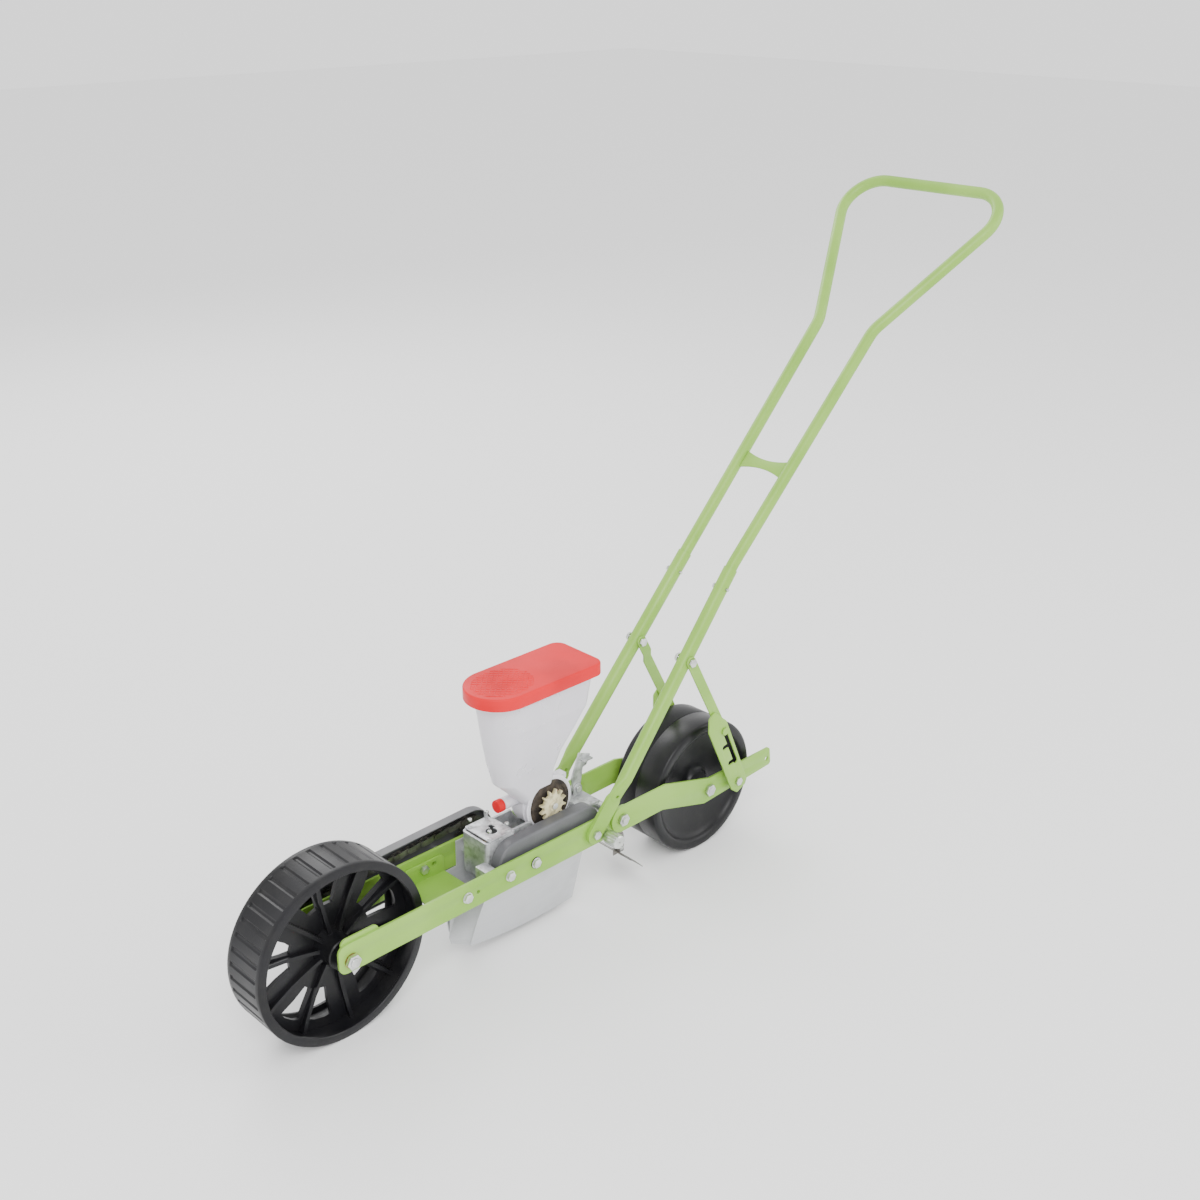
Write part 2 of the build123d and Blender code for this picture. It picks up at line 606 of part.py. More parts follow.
with BuildPart() as guard_posts:
    for post_x in right_post_x:
        add_disc(post_x, bar_z + 3, guard_post_r, outer_y, right_guard_out - guard_wall)
        add_disc(post_x, bar_z + 3, guard_screw_r, right_guard_out - guard_wall - 1, right_guard_out + 2.2)
        add_disc(post_x, bar_z + 3, 4.6, right_guard_out, right_guard_out + 2.2)
    for post_x in left_post_x:
        add_disc(post_x, counter_z, guard_post_r - 1, left_guard_out + guard_wall, case_plate_low)
        add_disc(post_x, counter_z, guard_screw_r, left_guard_out - 0.6, left_guard_out + guard_wall + 1)
        add_disc(post_x, counter_z, 3.6, left_guard_out - 0.7, left_guard_out)
guard_posts.part.label = "guard_posts"
export_step(guard_posts.part, "parts/guard_posts.step")

# ---------------------------------------------------------------- metering case and its shafts
block_front = axle_x + 262
block_rear = axle_x + 318
block_low = bar_low + 2
block_top = bar_z + 46
block_y_low = case_plate_low + case_plate_t + 0.5
block_y_high = housing_y_high + 7.8
block_wall = 4.0
cheek_rear = axle_x + 456
shelf_rear = axle_x + 496
shelf_z_low = bar_z + 18
shelf_z_high = bar_z + 22
near_cheek = (block_y_low + 7.5, block_y_low + 11.5)
far_cheek = (block_y_high - 5, block_y_high - 1)
counter_bush_r = 9.0
meter_bush_r = 7.5
ear_y = (-inner_y + 2.1, -inner_y + 5.1)
latch_x = axle_x + 484
latch_z = bar_z + 32
latch_y_low = block_y_high - 11
latch_t = 3.0
latch_pin_r = 3.0

with BuildPart() as metering_case:
    add_box(block_front, block_rear, block_y_low, block_y_high, block_low, block_top)
    upright = metering_case.edges().filter_by(Axis.Z)
    fillet(upright, 6)
    inside = (block_front + block_wall, block_rear - block_wall, block_y_low + block_wall,
              block_y_high - block_wall, block_low + block_wall, block_top + 1)
    add_box(*inside, Mode.SUBTRACT)
    for cheek in (near_cheek, far_cheek):
        add_outline(((block_rear - 2, block_low + 2), (axle_x + 430, block_low + 2),
                     (cheek_rear, bar_z + 4), (cheek_rear, shelf_z_high),
                     (cheek_rear - 20, block_top - 2), (block_rear - 2, block_top - 2)), *cheek)
    add_box(cheek_rear - 19, shelf_rear, near_cheek[0], far_cheek[1], shelf_z_low, shelf_z_high)
    for lug_low in (latch_y_low - body_gap - 3, latch_y_low + latch_t + body_gap):
        add_box(latch_x - 8, latch_x + 8, lug_low, lug_low + 3, shelf_z_high - 1, latch_z)
        add_disc(latch_x, latch_z, 8, lug_low, lug_low + 3)
    # Bearing bosses, and the pads that carry the fixing bolts.
    add_disc(counter_x, counter_z, counter_bush_r + 3, block_y_low, block_y_low + 7)
    add_disc(counter_x, counter_z, counter_bush_r + 3, block_y_high - 7, block_y_high)
    for cheek in (near_cheek, far_cheek):
        add_disc(meter_x, meter_z, meter_bush_r + 3, *cheek)
    add_box(block_front - 16, block_front + 2, ear_y[0], block_y_low + 8, bar_z - 13, bar_z + 13)
    add_box(block_front - 16, opener_bolt_x[0] + 10, *ear_y, bar_z - 13, bar_z + 13)
    add_disc(opener_bolt_x[0], bar_z, 8, block_y_high - 1, inner_y - 2.2)
    add_disc(opener_bolt_x[1], bar_z, 8, far_cheek[1] - 1, inner_y - 2.2)
    # Bores.
    add_disc(counter_x, counter_z, counter_bush_r, block_y_low - 1, block_y_high + 1, Mode.SUBTRACT)
    add_disc(meter_x, meter_z, meter_bush_r, near_cheek[0] - 1, far_cheek[1] + 1, Mode.SUBTRACT)
    add_disc(roller_x, roller_z, housing_r + saddle_fit, near_cheek[0] - 1, far_cheek[1] + 1, Mode.SUBTRACT)
    add_disc(latch_x, latch_z, latch_pin_r + running_fit, latch_y_low - 5, latch_y_low + latch_t + 5,
             Mode.SUBTRACT)
    add_disc(opener_bolt_x[0], bar_z, bolt_r + hole_fit, ear_y[0] - 1, ear_y[1] + 1, Mode.SUBTRACT)
    for bolt_x in opener_bolt_x:
        add_disc(bolt_x, bar_z, bolt_r + hole_fit, inner_y - 6, inner_y, Mode.SUBTRACT)
metering_case.part.label = "metering_case"
export_step(metering_case.part, "parts/metering_case.step")

roller_bush_r = 8.0
with BuildPart() as bearing_bushes:
    add_ring(counter_x, counter_z, counter_bush_r, shaft_r + running_fit, block_y_low - 0.1, block_y_low + 9)
    add_ring(counter_x, counter_z, counter_bush_r, shaft_r + running_fit, block_y_high - 9, block_y_high + 1)
    for cheek in (near_cheek, far_cheek):
        add_ring(meter_x, meter_z, meter_bush_r, shaft_r + running_fit, cheek[0] - 0.4, cheek[1] + 1)
    add_ring(roller_x, roller_z, roller_bush_r, roller_shaft_r + running_fit,
             housing_y_high - housing_wall, housing_y_high + 1.5)
bearing_bushes.part.label = "bearing_bushes"
export_step(bearing_bushes.part, "parts/bearing_bushes.step")

top_plate_t = 2.5
fill_hole_x = axle_x + 290
with BuildPart() as case_top_plate:
    add_box(axle_x + 268, axle_x + 313, block_y_low + 1, block_y_high + 1, block_top, block_top + top_plate_t)
    corners = case_top_plate.edges().filter_by(Axis.Z)
    fillet(corners, 4)
    with BuildSketch(Plane.XY.offset(block_top)) as fill_hole:
        with Locations((fill_hole_x, -2)):
            Circle(9)
        with Locations((fill_hole_x + 8, 8)):
            Rectangle(8, 10)
    extrude(fill_hole.sketch, amount=top_plate_t, mode=Mode.SUBTRACT)
    add_box(axle_x + 306, axle_x + 310, block_y_high - 4, block_y_high + 1, block_top + 1, block_top + 14)
    with BuildSketch(Plane.XY.offset(block_top + top_plate_t)) as screw_heads:
        with Locations((axle_x + 273, block_y_low + 7), (axle_x + 273, block_y_high - 6),
                       (axle_x + 308, block_y_low + 7)):
            Circle(3.4)
    extrude(screw_heads.sketch, amount=2)
case_top_plate.part.label = "case_top_plate"
export_step(case_top_plate.part, "parts/case_top_plate.step")

with BuildPart() as metering_shaft:
    add_disc(meter_x, meter_z, shaft_r, meter_chain_y - 4, block_y_high + 1)
metering_shaft.part.label = "metering_shaft"
export_step(metering_shaft.part, "parts/metering_shaft.step")

with BuildPart() as metering_sprocket:
    add_sprocket(meter_x, meter_z, meter_chain_pitch, meter_chain_y, shaft_r + 0.05,
                 10, meter_chain_y - 3, meter_chain_y + 5)
metering_sprocket.part.label = "metering_sprocket"
export_step(metering_sprocket.part, "parts/metering_sprocket.step")

with BuildPart() as drive_gear:
    add_gear(meter_x, meter_z, drive_teeth, gear_module, gear_y_low, gear_y_high, shaft_r + 0.05, 0)
drive_gear.part.label = "drive_gear"
export_step(drive_gear.part, "parts/drive_gear.step")

# ---------------------------------------------------------------- seed roller
seed_pockets = 12
with BuildPart() as seed_roller:
    add_disc(roller_x, roller_z, roller_r, roller_y_low, roller_y_high)
    add_disc(roller_x, roller_z, roller_r - 6, roller_y_low - 1, roller_y_low + 1.2, Mode.SUBTRACT)
    add_disc(roller_x, roller_z, roller_shaft_r + 6, roller_y_low, roller_y_low + 2)
    for k in range(seed_pockets):
        turn = 2 * pi * k / seed_pockets
        with Locations((roller_x + roller_r * cos(turn), neck_y, roller_z + roller_r * sin(turn))):
            Sphere(4, mode=Mode.SUBTRACT)
    add_disc(roller_x, roller_z, roller_shaft_r + 0.05, roller_y_low - 1, roller_y_high + 1, Mode.SUBTRACT)
seed_roller.part.label = "seed_roller"
export_step(seed_roller.part, "parts/seed_roller.step")

with BuildPart() as star_gear:
    add_gear(roller_x, roller_z, star_teeth, gear_module, gear_y_low, gear_y_high, roller_shaft_r + 0.05,
             180 / star_teeth)
    add_ring(roller_x, roller_z, 9, roller_shaft_r + 0.05, gear_y_low - 2, roller_y_low - 0.3)
star_gear.part.label = "star_gear"
export_step(star_gear.part, "parts/star_gear.step")

with BuildPart() as roller_shaft:
    add_disc(roller_x, roller_z, roller_shaft_r, gear_y_low - 4, housing_y_high + 2)
roller_shaft.part.label = "roller_shaft"
export_step(roller_shaft.part, "parts/roller_shaft.step")

# ---------------------------------------------------------------- hopper, lid, plug
room_r = roller_r + housing_fit
plug_y = 14.0
plug_z = bar_z + 72
plug_boss_front = axle_x + 325
plug_stem_r = 6.7
outlet_turn = radians(-60)

with BuildPart() as seed_hopper:
    outer_faces = [d_face(z, front, rear, half, mid) for z, front, rear, half, mid in hopper_sections]
    loft(outer_faces, ruled=True)
    add_disc(roller_x, roller_z, housing_r, housing_y_low, housing_y_high)
    add_box(axle_x + 425, axle_x + 446, neck_y, neck_y + 15, bar_z + 74, bar_z + 82)
    with BuildSketch(Plane.YZ.offset(plug_boss_front)) as boss_face:
        with Locations((plug_y, plug_z)):
            Circle(9.5)
    extrude(boss_face.sketch, amount=26)
    extrude(d_face(hopper_top_z - 4, hopper_sections[0][1], hopper_sections[0][2], hopper_sections[0][3],
                   grow=rim_out), amount=4)
    inner_faces = [d_face(z, front, rear, half, mid, grow=-hopper_wall)
                   for z, front, rear, half, mid in hopper_sections]
    loft(inner_faces, ruled=True, mode=Mode.SUBTRACT)
    add_disc(roller_x, roller_z, room_r, housing_y_low - 1, housing_y_high - housing_wall, Mode.SUBTRACT)
    add_disc(roller_x, roller_z, roller_bush_r, housing_y_high - 5, housing_y_high + 1, Mode.SUBTRACT)
    with BuildSketch(Plane.YZ.offset(plug_boss_front - 1)) as plug_hole:
        with Locations((plug_y, plug_z)):
            Circle(plug_stem_r + 0.3)
    extrude(plug_hole.sketch, amount=30, mode=Mode.SUBTRACT)
    # Seed outlet, low at the back of the roller room.
    out_x = roller_x + housing_r * cos(outlet_turn)
    out_z = roller_z + housing_r * sin(outlet_turn)
    with BuildSketch(side_plane(neck_y + 12)) as outlet:
        with Locations((out_x, out_z)):
            Rectangle(14, 14, rotation=degrees(outlet_turn))
    extrude(outlet.sketch, amount=24, mode=Mode.SUBTRACT)
seed_hopper.part.label = "seed_hopper"
export_step(seed_hopper.part, "parts/seed_hopper.step")

with BuildPart() as clean_out_plug:
    with BuildSketch(Plane.YZ.offset(plug_boss_front - 12)) as cap_face:
        with Locations((plug_y, plug_z)):
            Circle(10)
    extrude(cap_face.sketch, amount=11.5)
    with BuildSketch(Plane.YZ.offset(plug_boss_front - 1)) as stem_face:
        with Locations((plug_y, plug_z)):
            Circle(plug_stem_r)
    extrude(stem_face.sketch, amount=22)
clean_out_plug.part.label = "clean_out_plug"
export_step(clean_out_plug.part, "parts/clean_out_plug.step")

with BuildPart() as roller_brush:
    add_box(axle_x + 384, axle_x + 398.4, neck_y - 16.5, neck_y + 16.5, roller_z + 30, roller_z + 54)
    add_disc(roller_x, roller_z, roller_r + 0.45, neck_y - 20, neck_y + 20, Mode.SUBTRACT)
roller_brush.part.label = "roller_brush"
export_step(roller_brush.part, "parts/roller_brush.step")

lid_front = hopper_sections[0][1] - 17
lid_rear = hopper_sections[0][2] + 13
lid_half = hopper_sections[0][3] + 6
lid_low = hopper_top_z - 3
with BuildPart() as hopper_lid:
    extrude(d_face(lid_low, lid_front, lid_rear, lid_half), amount=lid_h)
    top_edges = hopper_lid.faces().sort_by(Axis.Z)[-1].edges()
    fillet(top_edges, 3)
    extrude(d_face(lid_low, lid_front, lid_rear, lid_half, grow=-lid_wall), amount=3.4, mode=Mode.SUBTRACT)
    extrude(d_face(lid_low, hopper_sections[0][1], hopper_sections[0][2], hopper_sections[0][3],
                   grow=-hopper_wall - lid_fit), amount=lid_h - lid_wall, mode=Mode.SUBTRACT)
hopper_lid.part.label = "hopper_lid"
export_step(hopper_lid.part, "parts/hopper_lid.step")

with BuildPart() as hopper_latch:
    with BuildSketch(side_plane(latch_y_low + latch_t)) as latch_face:
        with BuildLine():
            Polyline((latch_x - 7.5, latch_z - 2), (latch_x - 10, latch_z + 20), (latch_x + 6, latch_z + 59),
                     (latch_x + 29, latch_z + 50), (latch_x + 21, latch_z + 34), (latch_x + 13, latch_z + 32),
                     (latch_x + 7.5, latch_z - 2), close=True)
        make_face()
        with Locations((latch_x, latch_z)):
            Circle(7.5)
    extrude(amount=latch_t)
    add_box(latch_x + 8, latch_x + 27, latch_y_low - 8, latch_y_low + 1, latch_z + 45, latch_z + 47.5)
    add_disc(latch_x, latch_z, latch_pin_r + running_fit, latch_y_low - 1, latch_y_low + latch_t + 1,
             Mode.SUBTRACT)
hopper_latch.part.label = "hopper_latch"
export_step(hopper_latch.part, "parts/hopper_latch.step")

# ---------------------------------------------------------------- furrow opener and seed chute
opener_t = 2.0
opener_top_y = outer_y - bar_t - 0.1
opener_low_y = 20.9
opener_low_z = bar_z - 127
opener_bend_z = bar_low - 1
flange_top = bar_top - 2


def sheet_y(z):
    # Inner face of an opener plate below the bend.
    drop = (opener_bend_z - z) / (opener_bend_z - opener_low_z)
    return opener_top_y - opener_t - drop * (opener_top_y - opener_low_y)


for side_name, side in (("left", -1), ("right", 1)):
    with BuildPart() as opener_plate:
        with BuildSketch(Plane.YZ.offset(axle_x + 200)) as profile:
            with BuildLine():
                Polyline((side * (opener_top_y - opener_t), flange_top), (side * opener_top_y, flange_top),
                         (side * opener_top_y, opener_bend_z), (side * opener_low_y, opener_low_z),
                         (side * (opener_low_y - opener_t), opener_low_z),
                         (side * (opener_top_y - opener_t), opener_bend_z), close=True)
            make_face()
        extrude(profile.sketch, amount=260)
        with BuildSketch(side_plane(inner_y)) as outline:
            with BuildLine():
                ThreePointArc((axle_x + 235, opener_bend_z), (axle_x + 226, bar_z - 80), (axle_x + 224, bar_z - 110))
                ThreePointArc((axle_x + 224, bar_z - 110), (axle_x + 330, opener_low_z + 1),
                              (axle_x + 432, opener_low_z + 3))
                Polyline((axle_x + 432, opener_low_z + 3), (axle_x + 429, opener_bend_z),
                         (axle_x + 345, opener_bend_z), (axle_x + 345, flange_top), (axle_x + 262, flange_top),
                         (axle_x + 262, opener_bend_z), (axle_x + 235, opener_bend_z))
            make_face()
        extrude(outline.sketch, amount=bar_gap, mode=Mode.INTERSECT)
        hole_span = sorted((side * inner_y, side * (inner_y - 5)))
        for bolt_x in opener_bolt_x:
            add_disc(bolt_x, bar_z, bolt_r + hole_fit, *hole_span, Mode.SUBTRACT)
        if side > 0:
            add_disc(counter_x, counter_z, shaft_r + 1, *hole_span, Mode.SUBTRACT)
    opener_plate.part.label = f"{side_name}_opener_plate"
    export_step(opener_plate.part, f"parts/{side_name}_opener_plate.step")

# Bright cutting nose folded round the front of the two plates.
nose_t = 1.5
nose_levels = ((bar_z - 28, 231.0, 238.0), (bar_z - 86, 211.0, 230.0),
               (bar_z - 99, 205.0, 228.0), (bar_z - 111, 208.0, 227.0))
with BuildPart() as opener_nose:
    nose_faces = []
    for z, tip_x, wing_x in nose_levels:
        wing_y = sheet_y(z) - 0.1
        with BuildSketch(Plane.XY.offset(z)) as nose_face:
            with BuildLine():
                Polyline((axle_x + wing_x, wing_y), (axle_x + tip_x, 0), (axle_x + wing_x, -wing_y),
                         (axle_x + wing_x + nose_t, -wing_y + nose_t), (axle_x + tip_x + 1.6 * nose_t, 0),
                         (axle_x + wing_x + nose_t, wing_y - nose_t), close=True)
            make_face()
        nose_faces.append(nose_face.sketch)
    loft(nose_faces, ruled=True)
opener_nose.part.label = "opener_nose"
export_step(opener_nose.part, "parts/opener_nose.step")

chute_half_y = 13.0
chute_wall = 2.0
with BuildPart() as seed_chute:
    chute_faces = []
    hollow_faces = []
    for z, front, rear, half_y in ((bar_z + 13, 404, 427, chute_half_y), (bar_z - 25, 404, 424, 12.0),
                                   (bar_z - 100, 402, 420, 10.0)):
        for faces, shrink in ((chute_faces, 0), (hollow_faces, chute_wall)):
            with BuildSketch(Plane.XY.offset(z)) as chute_face:
                with Locations((axle_x + (front + rear) / 2, neck_y)):
                    RectangleRounded(rear - front - 2 * shrink, 2 * (half_y - shrink), 5 - shrink)
            faces.append(chute_face.sketch)
    loft(chute_faces, ruled=True)
    loft(hollow_faces, ruled=True, mode=Mode.SUBTRACT)
    for y_low, y_high in ((near_cheek[1], neck_y - chute_half_y + 1), (neck_y + chute_half_y - 1, far_cheek[0])):
        add_box(axle_x + 410, axle_x + 421, y_low, y_high, bar_z - 12, bar_z + 10)
seed_chute.part.label = "seed_chute"
export_step(seed_chute.part, "parts/seed_chute.step")

# ---------------------------------------------------------------- rear arms and press wheel
arm_end_x = axle_x + 848.0
arm_end_z = bar_z - 25.0
link_bolt_x = axle_x + 760.0
link_bolt_z = bar_z - 27.0
arm_pivot_r = shaft_r + running_fit

for side_name, side in (("left", -1), ("right", 1)):
    arm_span = sorted((side * arm_in, side * arm_out))
    with BuildPart() as rear_arm:
        with BuildSketch(side_plane(arm_span[1])) as arm_face:
            with BuildLine():
                Polyline((pivot_x, pivot_z + 22), (axle_x + 601, pivot_z + 22), (axle_x + 705, bar_z - 5.5),
                         (axle_x + 855, bar_z - 5), (axle_x + 859, bar_z - 38), (axle_x + 693, bar_z - 48),
                         (axle_x + 595, pivot_z - 21), (pivot_x, pivot_z - 22), close=True)
            make_face()
            fillet(arm_face.vertices().group_by(Axis.X)[-1], 6)
            fillet(arm_face.vertices().group_by(Axis.X)[-2], 6)
            with Locations((pivot_x, pivot_z)):
                Circle(22)
        extrude(amount=arm_t)
        add_disc(pivot_x, pivot_z, arm_pivot_r, arm_span[0] - 1, arm_span[1] + 1, Mode.SUBTRACT)
        add_disc(rear_axle_x, rear_axle_z, shaft_r + hole_fit, arm_span[0] - 1, arm_span[1] + 1, Mode.SUBTRACT)
        for hole_at in ((link_bolt_x, link_bolt_z), (arm_end_x, arm_end_z)):
            add_disc(*hole_at, bolt_r + hole_fit, arm_span[0] - 1, arm_span[1] + 1, Mode.SUBTRACT)
    rear_arm.part.label = f"{side_name}_rear_arm"
    export_step(rear_arm.part, f"parts/{side_name}_rear_arm.step")

wheel_half = rear_wheel_w / 2
with BuildPart() as rear_axle:
    add_disc(rear_axle_x, rear_axle_z, shaft_r, -arm_out - 7, arm_out + 7)
    for side in (-1, 1):
        add_hex(rear_axle_x, rear_axle_z, 9, *sorted((side * arm_out, side * (arm_out + 6))))
        add_disc(rear_axle_x, rear_axle_z, 9.5, *sorted((side * (wheel_half - 12), side * arm_in)))
rear_axle.part.label = "rear_axle"
export_step(rear_axle.part, "parts/rear_axle.step")

hub_end = wheel_half - 12.5
rear_bush_r = 9.0
for side_name, side in (("left", -1), ("right", 1)):
    with BuildPart() as wheel_shell:
        # Half of the wheel, turned about the axle.
        with BuildSketch(Plane.XY) as section:
            with BuildLine():
                Polyline((0.05, rear_wheel_r - 4), (0.05, rear_wheel_r), (wheel_half - 6, rear_wheel_r),
                         (wheel_half, rear_wheel_r - 6), (wheel_half, rear_wheel_r - 11),
                         (wheel_half - 5, rear_wheel_r - 14), (wheel_half - 16, 62), (wheel_half - 20, 26),
                         (hub_end, 24), (hub_end, rear_bush_r), (0.05, rear_bush_r), (0.05, 16),
                         (wheel_half - 24, 18), (wheel_half - 24, 26), (wheel_half - 20, 62),
                         (wheel_half - 9, rear_wheel_r - 16), (wheel_half - 9, rear_wheel_r - 4), close=True)
            make_face()
        # Local x lies along the axle, local y along the radius.
        spin = Plane((rear_axle_x, 0, rear_axle_z), x_dir=(0, side, 0), z_dir=(side, 0, 0))
        revolve(spin * section.sketch, axis=Axis((rear_axle_x, 0, rear_axle_z), (0, 1, 0)))
    wheel_shell.part.label = f"rear_wheel_{side_name}_half"
    export_step(wheel_shell.part, f"parts/rear_wheel_{side_name}_half.step")

with BuildPart() as rear_wheel_bushes:
    for side in (-1, 1):
        bush = sorted((side * (hub_end - 14), side * hub_end))
        add_ring(rear_axle_x, rear_axle_z, rear_bush_r, shaft_r + running_fit, *bush)
rear_wheel_bushes.part.label = "rear_wheel_bushes"
export_step(rear_wheel_bushes.part, "parts/rear_wheel_bushes.step")

# ---------------------------------------------------------------- depth links
link_t = 3.0
link_half_w = 9.0
strip_pin_r = 3.0
slot_clear = 1.2
slot_from = -113.0
slot_to = -40.0
slot_lean = 10.0
link_top = on_lower_tube(1, link_top_x)
link_len = hypot(link_bolt_x - link_top.X, link_bolt_z - link_top.Z)
along_x = (link_bolt_x - link_top.X) / link_len
along_z = (link_bolt_z - link_top.Z) / link_len


def on_link(u, n):
    # u runs from the arm bolt down along the link, n to the rear of it.
    return (link_bolt_x + u * along_x - n * along_z, link_bolt_z + u * along_z + n * along_x)


pin_at = on_link(slot_from, slot_lean)
strip_out = link_top.Y + lower_tube_r + 1.0
plate_out = strip_out + link_t + body_gap + 0.1
strip_in = link_top.Y - lower_tube_r - body_gap - link_t
strip_in_low = arm_in - 2 * link_t - 1.7
plate_in = strip_in_low + link_t + 1.0


def add_strip(low, x1, z1, x2, z2):
    with BuildSketch(side_plane(low + link_t)) as face:
        with Locations(((x1 + x2) / 2, (z1 + z2) / 2)):
            SlotCenterToCenter(hypot(x2 - x1, z2 - z1), 2 * link_half_w,
                               rotation=degrees(atan2(z2 - z1, x2 - x1)))
    extrude(face.sketch, amount=link_t)


with BuildPart() as left_link:
    add_strip(-strip_out - link_t, link_top.X, link_top.Z, *pin_at)
    add_disc(link_top.X, link_top.Z, bolt_r + running_fit, -strip_out - link_t - 1, -strip_out + 1, Mode.SUBTRACT)
    add_disc(*pin_at, strip_pin_r, -plate_out - link_t - 2, -strip_out - 1)
    add_disc(*pin_at, strip_pin_r + 3.5, -plate_out - link_t - 3, -plate_out - link_t - body_gap)
left_link.part.label = "left_link"
export_step(left_link.part, "parts/left_link.step")

# The right link hangs inside the tube and steps outwards past the wheel.
step_from = 26.0
step_to = 44.0
strip_len = hypot(pin_at[0] - link_top.X, pin_at[1] - link_top.Z)
strip_dir = Vector((pin_at[0] - link_top.X) / strip_len, 0, (pin_at[1] - link_top.Z) / strip_len)
with BuildPart() as right_link:
    strip_plane = Plane((link_top.X, 0, link_top.Z), x_dir=strip_dir,
                        z_dir=Vector(-strip_dir.Z, 0, strip_dir.X))
    with BuildSketch(strip_plane) as strip_profile:
        with BuildLine():
            Polyline((-link_half_w, strip_in), (step_from, strip_in), (step_to, strip_in_low),
                     (strip_len + link_half_w, strip_in_low), (strip_len + link_half_w, strip_in_low + link_t),
                     (step_to, strip_in_low + link_t), (step_from, strip_in + link_t),
                     (-link_half_w, strip_in + link_t), close=True)
        make_face()
    extrude(strip_profile.sketch, amount=link_half_w, both=True)
    with BuildSketch(side_plane(inner_y + 10)) as strip_outline:
        with Locations(((link_top.X + pin_at[0]) / 2, (link_top.Z + pin_at[1]) / 2)):
            SlotCenterToCenter(strip_len, 2 * link_half_w, rotation=degrees(atan2(strip_dir.Z, strip_dir.X)))
    extrude(strip_outline.sketch, amount=40, mode=Mode.INTERSECT)
    add_disc(link_top.X, link_top.Z, bolt_r + running_fit, strip_in - 1, strip_in + link_t + 1, Mode.SUBTRACT)
    add_disc(*pin_at, strip_pin_r, strip_in_low + 1, plate_in + link_t + 2.5)
    add_disc(*pin_at, strip_pin_r + 2.5, plate_in + link_t + body_gap, plate_in + link_t + 2.5)
right_link.part.label = "right_link"
export_step(right_link.part, "parts/right_link.step")

for side_name, side, plate_y in (("left", -1, plate_out), ("right", 1, plate_in)):
    plate_span = sorted((side * plate_y, side * (plate_y + link_t)))
    slot_half = strip_pin_r + slot_clear
    with BuildPart() as slot_plate:
        with BuildSketch(side_plane(plate_span[1])) as plate_face:
            with BuildLine():
                Polyline(on_link(-163, 5), on_link(-158, -10), on_link(-136, -20), on_link(4, -18),
                         on_link(19, -10), on_link(19, 12), on_link(12, 19), on_link(-127, 21), close=True)
            make_face()
            fillet(plate_face.vertices(), 5)
        extrude(amount=link_t)
        slot_mid = on_link((slot_from + slot_to) / 2, slot_lean)
        with BuildSketch(side_plane(plate_span[1])) as slot_face:
            with Locations(slot_mid):
                SlotCenterToCenter(slot_to - slot_from, 2 * slot_half, rotation=degrees(atan2(along_z, along_x)))
            for notch_u in (-84, -47):
                notch_root = on_link(notch_u + 3, slot_lean)
                notch_end = on_link(notch_u, slot_lean - 12)
                with Locations(((notch_root[0] + notch_end[0]) / 2, (notch_root[1] + notch_end[1]) / 2)):
                    SlotCenterToCenter(hypot(notch_end[0] - notch_root[0], notch_end[1] - notch_root[1]),
                                       2 * slot_half, rotation=degrees(atan2(notch_end[1] - notch_root[1],
                                                                             notch_end[0] - notch_root[0])))
        extrude(slot_face.sketch, amount=link_t, mode=Mode.SUBTRACT)
        add_disc(link_bolt_x, link_bolt_z, bolt_r + running_fit, plate_span[0] - 1, plate_span[1] + 1, Mode.SUBTRACT)
    slot_plate.part.label = f"{side_name}_slot_plate"
    export_step(slot_plate.part, f"parts/{side_name}_slot_plate.step")

# Pins on the frame that the links and the latch swing on.
with BuildPart() as swing_pins:
    left_head = -strip_out - link_t - body_gap
    add_disc(link_top.X, link_top.Z, bolt_r, left_head - 1, -link_top.Y + lower_tube_r + 6)
    add_hex(link_top.X, link_top.Z, 6.4, left_head - 4, left_head)
    add_hex(link_top.X, link_top.Z, 6.4, -link_top.Y + lower_tube_r + 0.4, -link_top.Y + lower_tube_r + 5)
    right_head = strip_in - body_gap
    add_disc(link_top.X, link_top.Z, bolt_r, right_head - 1, link_top.Y + lower_tube_r + 6)
    add_hex(link_top.X, link_top.Z, 6.4, right_head - 4, right_head)
    add_hex(link_top.X, link_top.Z, 6.4, link_top.Y + lower_tube_r + 0.4, link_top.Y + lower_tube_r + 5)
    latch_pin_low = latch_y_low - body_gap - 5
    add_disc(latch_x, latch_z, latch_pin_r, latch_pin_low, latch_y_low + latch_t + body_gap + 5)
    add_disc(latch_x, latch_z, latch_pin_r + 2, latch_pin_low - 0.5, latch_pin_low + 1.8)
swing_pins.part.label = "swing_pins"
export_step(swing_pins.part, "parts/swing_pins.step")

with BuildPart() as link_bottom_bolts:
    bolt_out = plate_out + link_t + body_gap
    add_disc(link_bolt_x, link_bolt_z, bolt_r, -bolt_out - 1, -arm_in + 2)
    add_hex(link_bolt_x, link_bolt_z, 6.4, -bolt_out - 4, -bolt_out)
    add_disc(link_bolt_x, link_bolt_z, 7, -plate_out + body_gap, -arm_out)
    bolt_in = plate_in - body_gap
    add_disc(link_bolt_x, link_bolt_z, bolt_r, bolt_in - 1, arm_out + 6)
    add_disc(link_bolt_x, link_bolt_z, 7.5, bolt_in - 2.6, bolt_in)
    add_hex(link_bolt_x, link_bolt_z, 6.4, arm_out, arm_out + 5)
link_bottom_bolts.part.label = "link_bottom_bolts"
export_step(link_bottom_bolts.part, "parts/link_bottom_bolts.step")

